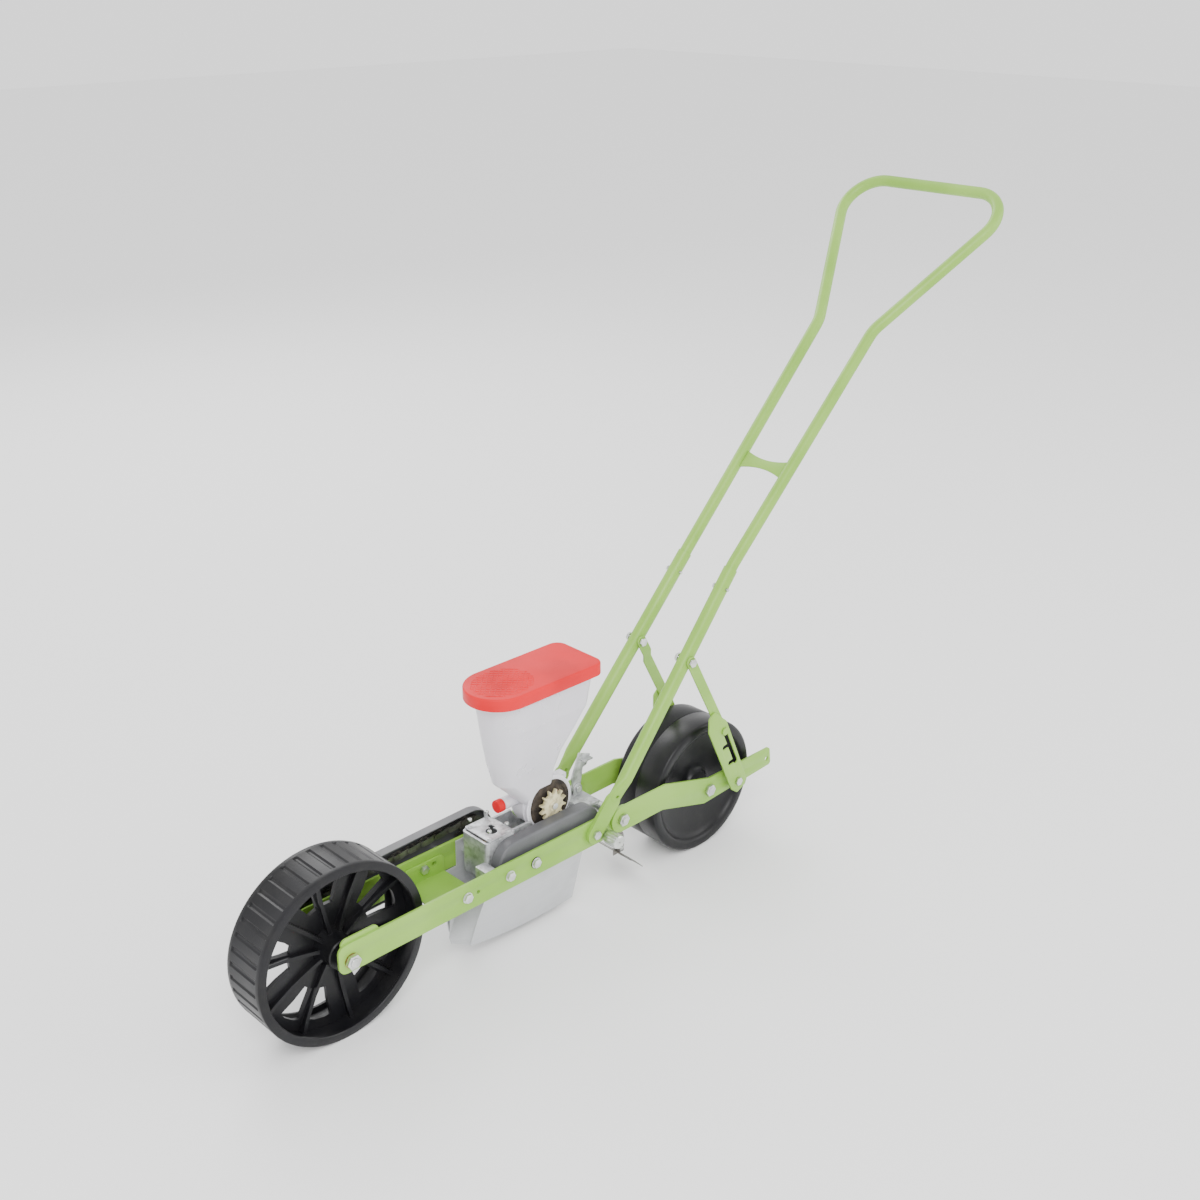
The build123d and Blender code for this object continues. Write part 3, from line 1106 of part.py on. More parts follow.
# ---------------------------------------------------------------- coverer
knob_in = arm_in + 0.3
coverer_tip_x = axle_x + 553.0
coverer_tip_z = bar_z - 80.0
blade_t = 1.5
with BuildPart() as coverer_rod:
    add_disc(coverer_rod_x, coverer_rod_z, coverer_rod_r, -knob_in - 26, outer_y + 7)
    add_hex(coverer_rod_x, coverer_rod_z, 8, outer_y, outer_y + 5)
    add_disc(coverer_rod_x, coverer_rod_z, 8.5, -4 - 9.6, -4 - 6.6)
    add_disc(coverer_rod_x, coverer_rod_z, 8.5, -4 + 6.6, -4 + 9.6)
coverer_rod.part.label = "coverer_rod"
export_step(coverer_rod.part, "parts/coverer_rod.step")

with BuildPart() as coverer_clamp_knob:
    add_disc(coverer_rod_x, coverer_rod_z, 9, -knob_in - 8, -knob_in)
    add_disc(coverer_rod_x, coverer_rod_z, 11.5, -knob_in - 34, -knob_in - 8)
    outer_edge = coverer_clamp_knob.edges().sort_by(Axis.Y)[0]
    fillet(outer_edge, 3)
    add_disc(coverer_rod_x, coverer_rod_z, coverer_rod_r + running_fit, -knob_in - 30, 0, Mode.SUBTRACT)
coverer_clamp_knob.part.label = "coverer_clamp_knob"
export_step(coverer_clamp_knob.part, "parts/coverer_clamp_knob.step")

with BuildPart() as coverer_arm:
    add_disc(coverer_rod_x, coverer_rod_z, 9, -10, 2)
    arm_dx = coverer_tip_x - coverer_rod_x
    arm_dz = coverer_tip_z - coverer_rod_z
    with BuildSketch(side_plane(-2)) as strip_face:
        with Locations((coverer_rod_x + arm_dx / 2, coverer_rod_z + arm_dz / 2)):
            SlotCenterToCenter(hypot(arm_dx, arm_dz), 14, rotation=degrees(atan2(arm_dz, arm_dx)))
        with Locations((coverer_tip_x, coverer_tip_z - 7)):
            SlotCenterToCenter(14, 14, rotation=90)
    extrude(strip_face.sketch, amount=4)
    add_disc(coverer_rod_x, coverer_rod_z, coverer_rod_r + running_fit, -11, 3, Mode.SUBTRACT)
    for drop in (0, 14):
        add_disc(coverer_tip_x, coverer_tip_z - drop, 2.7, -7, -1, Mode.SUBTRACT)
coverer_arm.part.label = "coverer_arm"
export_step(coverer_arm.part, "parts/coverer_arm.step")

with BuildPart() as coverer_blade:
    # Upright tab, then a scraper sheet leaning back to the ground.
    with BuildSketch(side_plane(-2 + blade_t + 0.05)) as tab_face:
        with Locations((coverer_tip_x, bar_z - 93)):
            Rectangle(24, 28)
        with Locations((coverer_tip_x, coverer_tip_z + 1)):
            Circle(12)
    extrude(tab_face.sketch, amount=blade_t)
    with BuildSketch(side_plane(40)) as scraper_face:
        with BuildLine():
            Polyline((axle_x + 543, bar_z - 97), (axle_x + 551, bar_z - 102), (axle_x + 571, bar_z - 122),
                     (axle_x + 570, bar_z - 123), (axle_x + 549.5, bar_z - 103.5), (axle_x + 542, bar_z - 98.6),
                     close=True)
        make_face()
    extrude(scraper_face.sketch, amount=80)
    for drop in (0, 14):
        add_disc(coverer_tip_x, coverer_tip_z - drop, 2.7, -3, 1, Mode.SUBTRACT)
coverer_blade.part.label = "coverer_blade"
export_step(coverer_blade.part, "parts/coverer_blade.step")

with BuildPart() as coverer_bolts:
    for drop in (0, 14):
        add_disc(coverer_tip_x, coverer_tip_z - drop, 2.5, -9.5, 0.5)
        add_hex(coverer_tip_x, coverer_tip_z - drop, 4.5, -9, -6)
        add_disc(coverer_tip_x, coverer_tip_z - drop, 4.6, -0.4, 1.8)
coverer_bolts.part.label = "coverer_bolts"
export_step(coverer_bolts.part, "parts/coverer_bolts.step")
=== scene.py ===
import json
from math import atan2, ceil, cos, hypot, pi, radians, sin

import bmesh
import bpy
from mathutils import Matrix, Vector


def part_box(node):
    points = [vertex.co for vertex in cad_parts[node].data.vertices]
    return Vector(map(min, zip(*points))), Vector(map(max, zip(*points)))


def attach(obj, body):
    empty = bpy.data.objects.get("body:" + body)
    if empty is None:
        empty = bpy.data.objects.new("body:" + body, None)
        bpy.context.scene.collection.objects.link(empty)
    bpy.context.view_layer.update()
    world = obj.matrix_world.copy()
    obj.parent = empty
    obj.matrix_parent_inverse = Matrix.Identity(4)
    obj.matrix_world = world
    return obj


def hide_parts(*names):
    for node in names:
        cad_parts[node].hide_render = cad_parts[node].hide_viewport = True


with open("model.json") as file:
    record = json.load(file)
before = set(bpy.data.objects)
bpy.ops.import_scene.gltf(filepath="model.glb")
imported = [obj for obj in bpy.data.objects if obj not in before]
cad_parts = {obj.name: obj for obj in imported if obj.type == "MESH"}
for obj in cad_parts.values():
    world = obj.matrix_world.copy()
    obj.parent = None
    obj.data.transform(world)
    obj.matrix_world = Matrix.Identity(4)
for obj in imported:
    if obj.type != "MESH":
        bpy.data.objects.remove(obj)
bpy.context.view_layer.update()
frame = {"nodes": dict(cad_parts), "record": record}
nodes = frame["nodes"]
bodyOf = {node: body
          for body, members in frame["record"]["behaviour"]["bodies"].items() for node in members}
print("frame loaded", len(nodes), "nodes")


# shader node groups, shared by the materials
def newGroup(name, inputs, outputs):
    tree = bpy.data.node_groups.new(name, "ShaderNodeTree")
    for label, kind, start in inputs:
        socket = tree.interface.new_socket(name=label, in_out="INPUT", socket_type=kind)
        socket.default_value = start
    for label, kind in outputs:
        tree.interface.new_socket(name=label, in_out="OUTPUT", socket_type=kind)
    return tree, tree.nodes.new("NodeGroupInput"), tree.nodes.new("NodeGroupOutput")


def objectNoise(tree, scaleSocket, detail=4.0, stretch=None):
    place = tree.nodes.new("ShaderNodeTexCoord")
    noise = tree.nodes.new("ShaderNodeTexNoise")
    noise.inputs["Detail"].default_value = detail
    source = place.outputs["Object"]
    if stretch:
        mapping = tree.nodes.new("ShaderNodeMapping")
        mapping.inputs["Scale"].default_value = stretch
        tree.links.new(source, mapping.inputs["Vector"])
        source = mapping.outputs["Vector"]
    tree.links.new(source, noise.inputs["Vector"])
    if scaleSocket is not None:
        tree.links.new(scaleSocket, noise.inputs["Scale"])
    return noise


def rampOf(tree, source, low, high):
    ramp = tree.nodes.new("ShaderNodeMapRange")
    ramp.interpolation_type = "SMOOTHSTEP"
    ramp.inputs["From Min"].default_value = low
    ramp.inputs["From Max"].default_value = high
    tree.links.new(source, ramp.inputs["Value"])
    return ramp.outputs["Result"]


# slow drift between two colours, for paint and plastic that is never quite even
colourDrift, start, end = newGroup(
    "colourDrift",
    [("Light Colour", "NodeSocketColor", (0.5, 0.5, 0.5, 1)),
     ("Dark Colour", "NodeSocketColor", (0.4, 0.4, 0.4, 1)), ("Scale", "NodeSocketFloat", 9.0)],
    [("Color", "NodeSocketColor"), ("Mask", "NodeSocketFloat")])
noise = objectNoise(colourDrift, start.outputs["Scale"])
mask = rampOf(colourDrift, noise.outputs["Fac"], 0.34, 0.68)
mix = colourDrift.nodes.new("ShaderNodeMix")
mix.data_type = "RGBA"
colourDrift.links.new(mask, mix.inputs["Factor"])
colourDrift.links.new(start.outputs["Light Colour"], mix.inputs[6])
colourDrift.links.new(start.outputs["Dark Colour"], mix.inputs[7])
colourDrift.links.new(mix.outputs[2], end.inputs["Color"])
colourDrift.links.new(mask, end.inputs["Mask"])

# bright or bare line along sharp edges, broken up by noise
edgeWear, start, end = newGroup(
    "edgeWear",
    [("Radius", "NodeSocketFloat", 0.001), ("Breakup Scale", "NodeSocketFloat", 60.0),
     ("Amount", "NodeSocketFloat", 1.0)],
    [("Mask", "NodeSocketFloat")])
bevel = edgeWear.nodes.new("ShaderNodeBevel")
bevel.samples = 4
edgeWear.links.new(start.outputs["Radius"], bevel.inputs["Radius"])
facing = edgeWear.nodes.new("ShaderNodeNewGeometry")
dot = edgeWear.nodes.new("ShaderNodeVectorMath")
dot.operation = "DOT_PRODUCT"
edgeWear.links.new(bevel.outputs["Normal"], dot.inputs[0])
edgeWear.links.new(facing.outputs["Normal"], dot.inputs[1])
turned = rampOf(edgeWear, dot.outputs["Value"], 0.995, 0.86)
noise = objectNoise(edgeWear, start.outputs["Breakup Scale"], 5.0)
broken = rampOf(edgeWear, noise.outputs["Fac"], 0.42, 0.62)
both = edgeWear.nodes.new("ShaderNodeMath")
both.operation = "MULTIPLY"
edgeWear.links.new(turned, both.inputs[0])
edgeWear.links.new(broken, both.inputs[1])
scaled = edgeWear.nodes.new("ShaderNodeMath")
scaled.operation = "MULTIPLY"
edgeWear.links.new(both.outputs[0], scaled.inputs[0])
edgeWear.links.new(start.outputs["Amount"], scaled.inputs[1])
edgeWear.links.new(scaled.outputs[0], end.inputs["Mask"])

# fine relief: orange peel, moulding grain or sand-cast skin, by scale and depth
fineRelief, start, end = newGroup(
    "fineRelief",
    [("Scale", "NodeSocketFloat", 300.0), ("Depth", "NodeSocketFloat", 0.0002),
     ("Roughness Low", "NodeSocketFloat", 0.35), ("Roughness High", "NodeSocketFloat", 0.5)],
    [("Normal", "NodeSocketVector"), ("Roughness", "NodeSocketFloat")])
noise = objectNoise(fineRelief, start.outputs["Scale"], 3.0)
bump = fineRelief.nodes.new("ShaderNodeBump")
fineRelief.links.new(noise.outputs["Fac"], bump.inputs["Height"])
fineRelief.links.new(start.outputs["Depth"], bump.inputs["Distance"])
fineRelief.links.new(bump.outputs["Normal"], end.inputs["Normal"])
wide = objectNoise(fineRelief, None, 4.0)
wide.inputs["Scale"].default_value = 14.0
spread = fineRelief.nodes.new("ShaderNodeMapRange")
spread.inputs["From Min"].default_value = 0.3
spread.inputs["From Max"].default_value = 0.7
fineRelief.links.new(wide.outputs["Fac"], spread.inputs["Value"])
fineRelief.links.new(start.outputs["Roughness Low"], spread.inputs["To Min"])
fineRelief.links.new(start.outputs["Roughness High"], spread.inputs["To Max"])
fineRelief.links.new(spread.outputs["Result"], end.inputs["Roughness"])

# long thin rolling marks of sheet and bright bar
rolledLines, start, end = newGroup(
    "rolledLines",
    [("Light Colour", "NodeSocketColor", (0.7, 0.7, 0.7, 1)),
     ("Dark Colour", "NodeSocketColor", (0.5, 0.5, 0.5, 1)), ("Depth", "NodeSocketFloat", 0.00006)],
    [("Color", "NodeSocketColor"), ("Normal", "NodeSocketVector")])
noise = objectNoise(rolledLines, None, 6.0, stretch=(6.0, 300.0, 300.0))
noise.inputs["Scale"].default_value = 1.6
mix = rolledLines.nodes.new("ShaderNodeMix")
mix.data_type = "RGBA"
rolledLines.links.new(noise.outputs["Fac"], mix.inputs["Factor"])
rolledLines.links.new(start.outputs["Light Colour"], mix.inputs[6])
rolledLines.links.new(start.outputs["Dark Colour"], mix.inputs[7])
rolledLines.links.new(mix.outputs[2], end.inputs["Color"])
bump = rolledLines.nodes.new("ShaderNodeBump")
rolledLines.links.new(noise.outputs["Fac"], bump.inputs["Height"])
rolledLines.links.new(start.outputs["Depth"], bump.inputs["Distance"])
rolledLines.links.new(bump.outputs["Normal"], end.inputs["Normal"])

# soil dust and grime in patches
settledDust, start, end = newGroup(
    "settledDust",
    [("Base Colour", "NodeSocketColor", (0.5, 0.5, 0.5, 1)),
     ("Dust Colour", "NodeSocketColor", (0.3, 0.26, 0.2, 1)), ("Amount", "NodeSocketFloat", 0.3),
     ("Scale", "NodeSocketFloat", 30.0)],
    [("Color", "NodeSocketColor")])
noise = objectNoise(settledDust, start.outputs["Scale"], 6.0)
patch = rampOf(settledDust, noise.outputs["Fac"], 0.46, 0.72)
part = settledDust.nodes.new("ShaderNodeMath")
part.operation = "MULTIPLY"
settledDust.links.new(patch, part.inputs[0])
settledDust.links.new(start.outputs["Amount"], part.inputs[1])
mix = settledDust.nodes.new("ShaderNodeMix")
mix.data_type = "RGBA"
settledDust.links.new(part.outputs[0], mix.inputs["Factor"])
settledDust.links.new(start.outputs["Base Colour"], mix.inputs[6])
settledDust.links.new(start.outputs["Dust Colour"], mix.inputs[7])
settledDust.links.new(mix.outputs[2], end.inputs["Color"])
print("shader groups made")


# materials: one dictionary for each finish
def makeFinish(name, look):
    material = bpy.data.materials.new(name)
    material.use_nodes = True
    tree = material.node_tree
    shader = tree.nodes["Principled BSDF"]
    for socket, value in look.get("shader", {}).items():
        shader.inputs[socket].default_value = value

    def place(group, settings):
        node = tree.nodes.new("ShaderNodeGroup")
        node.node_tree = group
        for socket, value in settings.items():
            node.inputs[socket].default_value = value
        return node

    if "rolled" in look:
        colourNode = place(rolledLines, look["rolled"])
    else:
        colourNode = place(colourDrift, look["drift"])
    colour = colourNode.outputs["Color"]
    if "dust" in look:
        dust = place(settledDust, look["dust"])
        tree.links.new(colour, dust.inputs["Base Colour"])
        colour = dust.outputs["Color"]
    if "wear" in look:
        wear = place(edgeWear, look["wear"])
        mix = tree.nodes.new("ShaderNodeMix")
        mix.data_type = "RGBA"
        tree.links.new(wear.outputs["Mask"], mix.inputs["Factor"])
        tree.links.new(colour, mix.inputs[6])
        mix.inputs[7].default_value = look["bare"]
        colour = mix.outputs[2]
    tree.links.new(colour, shader.inputs["Base Color"])
    relief = place(fineRelief, look["relief"])
    tree.links.new(relief.outputs["Roughness"], shader.inputs["Roughness"])
    tree.links.new(relief.outputs["Normal"], shader.inputs["Normal"])
    return material


finishes = {
    "greenPaint": {
        "drift": {"Light Colour": (0.265, 0.475, 0.075, 1), "Dark Colour": (0.205, 0.405, 0.045, 1),
                  "Scale": 7.0},
        "wear": {"Radius": 0.0009, "Breakup Scale": 70.0, "Amount": 0.55}, "bare": (0.42, 0.56, 0.24, 1),
        "relief": {"Scale": 420.0, "Depth": 0.00012, "Roughness Low": 0.34, "Roughness High": 0.48},
        "shader": {"Coat Weight": 0.08, "Coat Roughness": 0.25, "Specular IOR Level": 0.32}},
    "zincPlate": {
        "drift": {"Light Colour": (0.74, 0.75, 0.74, 1), "Dark Colour": (0.55, 0.57, 0.55, 1),
                  "Scale": 60.0},
        "dust": {"Dust Colour": (0.30, 0.29, 0.25, 1), "Amount": 0.3, "Scale": 90.0},
        "relief": {"Scale": 500.0, "Depth": 0.0001, "Roughness Low": 0.26, "Roughness High": 0.42},
        "shader": {"Metallic": 1.0}},
    "oiledSteel": {
        "drift": {"Light Colour": (0.30, 0.29, 0.27, 1), "Dark Colour": (0.16, 0.155, 0.15, 1),
                  "Scale": 50.0},
        "dust": {"Dust Colour": (0.06, 0.045, 0.03, 1), "Amount": 0.6, "Scale": 70.0},
        "relief": {"Scale": 260.0, "Depth": 0.0001, "Roughness Low": 0.32, "Roughness High": 0.55},
        "shader": {"Metallic": 1.0}},
    "castAluminium": {
        "drift": {"Light Colour": (0.66, 0.67, 0.68, 1), "Dark Colour": (0.42, 0.43, 0.44, 1),
                  "Scale": 42.0},
        "dust": {"Dust Colour": (0.20, 0.20, 0.19, 1), "Amount": 0.55, "Scale": 120.0},
        "wear": {"Radius": 0.0012, "Breakup Scale": 90.0, "Amount": 0.8}, "bare": (0.86, 0.87, 0.88, 1),
        "relief": {"Scale": 210.0, "Depth": 0.0007, "Roughness Low": 0.36, "Roughness High": 0.6},
        "shader": {"Metallic": 0.85}},
    "bushBrass": {
        "drift": {"Light Colour": (0.62, 0.47, 0.22, 1), "Dark Colour": (0.44, 0.32, 0.15, 1),
                  "Scale": 80.0},
        "relief": {"Scale": 300.0, "Depth": 0.0001, "Roughness Low": 0.3, "Roughness High": 0.45},
        "shader": {"Metallic": 1.0}},
    "guardGrey": {
        "drift": {"Light Colour": (0.105, 0.107, 0.113, 1), "Dark Colour": (0.078, 0.080, 0.085, 1),
                  "Scale": 11.0},
        "dust": {"Dust Colour": (0.18, 0.175, 0.165, 1), "Amount": 0.14, "Scale": 26.0},
        "wear": {"Radius": 0.001, "Breakup Scale": 60.0, "Amount": 0.35}, "bare": (0.34, 0.34, 0.35, 1),
        "relief": {"Scale": 650.0, "Depth": 0.00012, "Roughness Low": 0.34, "Roughness High": 0.48},
        "shader": {"Specular IOR Level": 0.5}},
    "clearPlastic": {
        "drift": {"Light Colour": (0.95, 0.935, 0.98, 1), "Dark Colour": (0.91, 0.895, 0.945, 1),
                  "Scale": 9.0},
        "relief": {"Scale": 160.0, "Depth": 0.00006, "Roughness Low": 0.26, "Roughness High": 0.36},
        "shader": {"Transmission Weight": 0.4, "IOR": 1.3, "Specular IOR Level": 0.4}},
    "redPlastic": {
        "drift": {"Light Colour": (0.70, 0.006, 0.014, 1), "Dark Colour": (0.58, 0.003, 0.009, 1),
                  "Scale": 12.0},
        "wear": {"Radius": 0.0014, "Breakup Scale": 55.0, "Amount": 0.35}, "bare": (0.86, 0.06, 0.07, 1),
        "relief": {"Scale": 520.0, "Depth": 0.00014, "Roughness Low": 0.42, "Roughness High": 0.56},
        "shader": {"Specular IOR Level": 0.22}},
    "wheelBlack": {
        "drift": {"Light Colour": (0.009, 0.009, 0.011, 1), "Dark Colour": (0.005, 0.005, 0.006, 1),
                  "Scale": 10.0},
        "dust": {"Dust Colour": (0.020, 0.019, 0.018, 1), "Amount": 0.3, "Scale": 34.0},
        "wear": {"Radius": 0.0014, "Breakup Scale": 60.0, "Amount": 0.4}, "bare": (0.035, 0.035, 0.038, 1),
        "relief": {"Scale": 420.0, "Depth": 0.00016, "Roughness Low": 0.30, "Roughness High": 0.44},
        "shader": {"Specular IOR Level": 0.28}},
    "feltBrown": {
        "drift": {"Light Colour": (0.060, 0.046, 0.034, 1), "Dark Colour": (0.018, 0.015, 0.013, 1),
                  "Scale": 70.0},
        "relief": {"Scale": 380.0, "Depth": 0.0012, "Roughness Low": 0.6, "Roughness High": 0.85},
        "shader": {"Specular IOR Level": 0.3}},
    "brushBlack": {
        "drift": {"Light Colour": (0.03, 0.03, 0.03, 1), "Dark Colour": (0.015, 0.015, 0.015, 1),
                  "Scale": 50.0},
        "relief": {"Scale": 400.0, "Depth": 0.0003, "Roughness Low": 0.45, "Roughness High": 0.65},
        "shader": {}},
    "creamNylon": {
        "drift": {"Light Colour": (0.66, 0.60, 0.37, 1), "Dark Colour": (0.48, 0.43, 0.24, 1),
                  "Scale": 60.0},
        "dust": {"Dust Colour": (0.14, 0.12, 0.06, 1), "Amount": 0.6, "Scale": 110.0},
        "relief": {"Scale": 300.0, "Depth": 0.0002, "Roughness Low": 0.38, "Roughness High": 0.55},
        "shader": {}},
    "rolledSheet": {
        "rolled": {"Light Colour": (0.60, 0.61, 0.625, 1), "Dark Colour": (0.50, 0.51, 0.525, 1),
                   "Depth": 0.00003},
        "dust": {"Dust Colour": (0.42, 0.42, 0.43, 1), "Amount": 0.4, "Scale": 14.0},
        "wear": {"Radius": 0.0008, "Breakup Scale": 80.0, "Amount": 0.6}, "bare": (0.80, 0.80, 0.81, 1),
        "relief": {"Scale": 300.0, "Depth": 0.00008, "Roughness Low": 0.42, "Roughness High": 0.58},
        "shader": {"Metallic": 0.55}},
    # lighter, glossier copy of the rolled sheet finish: painted highlight for the lit front face of the
    # opener nose
    "paintedHighlightSheet": {
        "rolled": {"Light Colour": (0.93, 0.93, 0.94, 1), "Dark Colour": (0.84, 0.84, 0.85, 1),
                   "Depth": 0.00002},
        "relief": {"Scale": 300.0, "Depth": 0.00004, "Roughness Low": 0.16, "Roughness High": 0.26},
        "shader": {"Metallic": 0.9}},
    "toolSteel": {
        "drift": {"Light Colour": (0.34, 0.335, 0.32, 1), "Dark Colour": (0.20, 0.195, 0.185, 1),
                  "Scale": 40.0},
        "dust": {"Dust Colour": (0.15, 0.10, 0.06, 1), "Amount": 0.4, "Scale": 60.0},
        "wear": {"Radius": 0.0008, "Breakup Scale": 70.0, "Amount": 0.7}, "bare": (0.62, 0.62, 0.61, 1),
        "relief": {"Scale": 240.0, "Depth": 0.0002, "Roughness Low": 0.36, "Roughness High": 0.55},
        "shader": {"Metallic": 0.9}},
}
material = {name: makeFinish(name, look) for name, look in finishes.items()}
print("finishes made", len(material))

finishOfSlot = {
    "green_paint": "greenPaint", "zinc": "zincPlate", "drive_steel": "oiledSteel",
    "case_aluminium": "castAluminium", "bush_brass": "bushBrass", "guard_grey": "guardGrey",
    "hopper_clear": "clearPlastic", "red_plastic": "redPlastic", "brush_black": "brushBlack",
    "roller_brown": "feltBrown", "star_cream": "creamNylon", "opener_steel": "rolledSheet",
    "wheel_black": "wheelBlack", "coverer_steel": "toolSteel", "knob_zinc": "zincPlate"}
slotOf = {entry["node"]: entry["material_slot"] for entry in frame["record"]["subparts"]}
for node, obj in nodes.items():
    finish = material[finishOfSlot[slotOf[node]]]
    # the opener nose takes the lighter copy of its sheet finish, a painted highlight where light falls on
    # its front face
    if node == "opener_nose":
        finish = material["paintedHighlightSheet"]
    obj.data.materials.clear()
    obj.data.materials.append(finish)


# mesh helpers
sharpFrom = 30          # degrees between faces from which an edge is rounded
weld = 0.00001


def newPiece(name, mesh, finish, body, stands=()):
    obj = bpy.data.objects.new(name, mesh)
    bpy.context.scene.collection.objects.link(obj)
    mesh.materials.clear()
    mesh.materials.append(material[finish])
    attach(obj, body)
    if stands:
        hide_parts(*stands)
    return obj


def meshFrom(bm, name, smoothAngle=35):
    mesh = bpy.data.meshes.new(name)
    bmesh.ops.recalc_face_normals(bm, faces=bm.faces)
    for face in bm.faces:
        face.smooth = True
    for edge in bm.edges:
        if len(edge.link_faces) == 2 and edge.calc_face_angle(0) > radians(smoothAngle):
            edge.smooth = False
    bm.to_mesh(mesh)
    bm.free()
    return mesh


def softened(node, width, segments, extra=None):
    # The node's own shape with its sharp edges rounded.
    bm = bmesh.new()
    bm.from_mesh(nodes[node].data)
    bmesh.ops.remove_doubles(bm, verts=bm.verts, dist=weld)
    bmesh.ops.dissolve_limit(bm, angle_limit=radians(1.5), verts=bm.verts, edges=bm.edges, delimit=set())
    sharp = [e for e in bm.edges if len(e.link_faces) == 2 and e.calc_face_angle(0) > radians(sharpFrom)]
    bmesh.ops.bevel(bm, geom=sharp, offset=width, segments=segments, profile=0.5, affect="EDGES",
                    clamp_overlap=True, offset_type="OFFSET")
    if extra:
        extra(bm)
    mesh = meshFrom(bm, node + "Soft", 25)
    slot = slotOf[node]
    return newPiece(node + "Soft", mesh, finishOfSlot[slot], bodyOf[node], (node,))


def lathe(bm, profile, x, z, segments):
    # Turns (radius, y) points about the line through x, z along Y; a closed loop of points makes a ring.
    rings = []
    for k in range(segments):
        turn = 2 * pi * k / segments
        rings.append([bm.verts.new((x + r * cos(turn), y, z + r * sin(turn))) for r, y in profile])
    count = len(profile)
    for k in range(segments):
        here, there = rings[k], rings[(k + 1) % segments]
        for i in range(count):
            j = (i + 1) % count
            bm.faces.new((here[i], here[j], there[j], there[i]))
    return rings


def addBox(bm, low, high, bevel):
    made = bmesh.ops.create_cube(bm, size=1.0)["verts"]
    size = [high[i] - low[i] for i in range(3)]
    middle = [(high[i] + low[i]) / 2 for i in range(3)]
    bmesh.ops.scale(bm, vec=size, verts=made)
    bmesh.ops.translate(bm, vec=middle, verts=made)
    edges = list({e for v in made for e in v.link_edges})
    bmesh.ops.bevel(bm, geom=edges, offset=bevel, segments=2, profile=0.5, affect="EDGES")


def addThread(bm, x, z, r, y0, y1, pitch=0.00125):
    # A row of thread crests round a rod end.
    steps = max(2, ceil(abs(y1 - y0) / pitch))
    step = (y1 - y0) / steps
    profile = [(0.0005, y0)]
    for k in range(steps):
        profile += [(r * 0.88, y0 + step * (k + 0.1)), (r, y0 + step * (k + 0.5))]
    profile += [(r * 0.88, y1), (0.0005, y1)]
    lathe(bm, profile, x, z, 24)


# soften the edges of the pressed, cast and moulded pieces
softWidths = {
    "left_side_bar": 0.0006, "right_side_bar": 0.0006, "axle_plates": 0.0005, "front_cross_bracket": 0.0006,
    "left_rear_arm": 0.0006, "right_rear_arm": 0.0006, "left_link": 0.0004, "right_link": 0.0004,
    "left_slot_plate": 0.0005, "right_slot_plate": 0.0005, "handle_brace": 0.0005, "metering_case": 0.0012,
    "case_top_plate": 0.0006, "hopper_latch": 0.0006, "coverer_arm": 0.0005, "coverer_blade": 0.0003,
    "left_opener_plate": 0.0003, "right_opener_plate": 0.0003, "opener_nose": 0.0003, "seed_chute": 0.0005,
    "star_gear": 0.0005, "clean_out_plug": 0.0012, "rear_pivot_rod": 0.0006, "frame_bolts": 0.0005,
    "handle_bolts": 0.0004, "guard_posts": 0.0004, "swing_pins": 0.0004, "link_bottom_bolts": 0.0005,
    "rear_axle": 0.0006, "front_axle": 0.0005, "coverer_bolts": 0.0003, "coverer_rod": 0.0005}
for node, width in softWidths.items():
    softened(node, width, 2 if width > 0.00045 else 1)
print("edges softened", len(softWidths))

# drive wheel: grooved barrel, web with five pairs of windows, ribs and hub
driveWheel = {"grooves": 40, "grooveDeep": 0.0018, "perGroove": 8, "wall": 0.006, "lip": 0.0048, "pairs": 5,
              "pairTurn": -117.0, "near": 4.0, "farIn": 16.5, "farOut": 23.0, "windowIn": 0.065,
              "windowRim": 0.022, "bow": 0.002, "web": 0.006, "rib": 0.0055, "ribWide": 0.028,
              "hub": 0.0235, "bore": 0.0072}
low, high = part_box("front_wheel_rim")
wheelX = (low.x + high.x) / 2
wheelR = (high.x - low.x) / 2
wheelZ = wheelR
wheelHalf = (high.y - low.y) / 2


def onWheel(bm, r, degreesTurn, y):
    turn = radians(degreesTurn)
    return bm.verts.new((wheelX + r * cos(turn), y, wheelZ + r * sin(turn)))


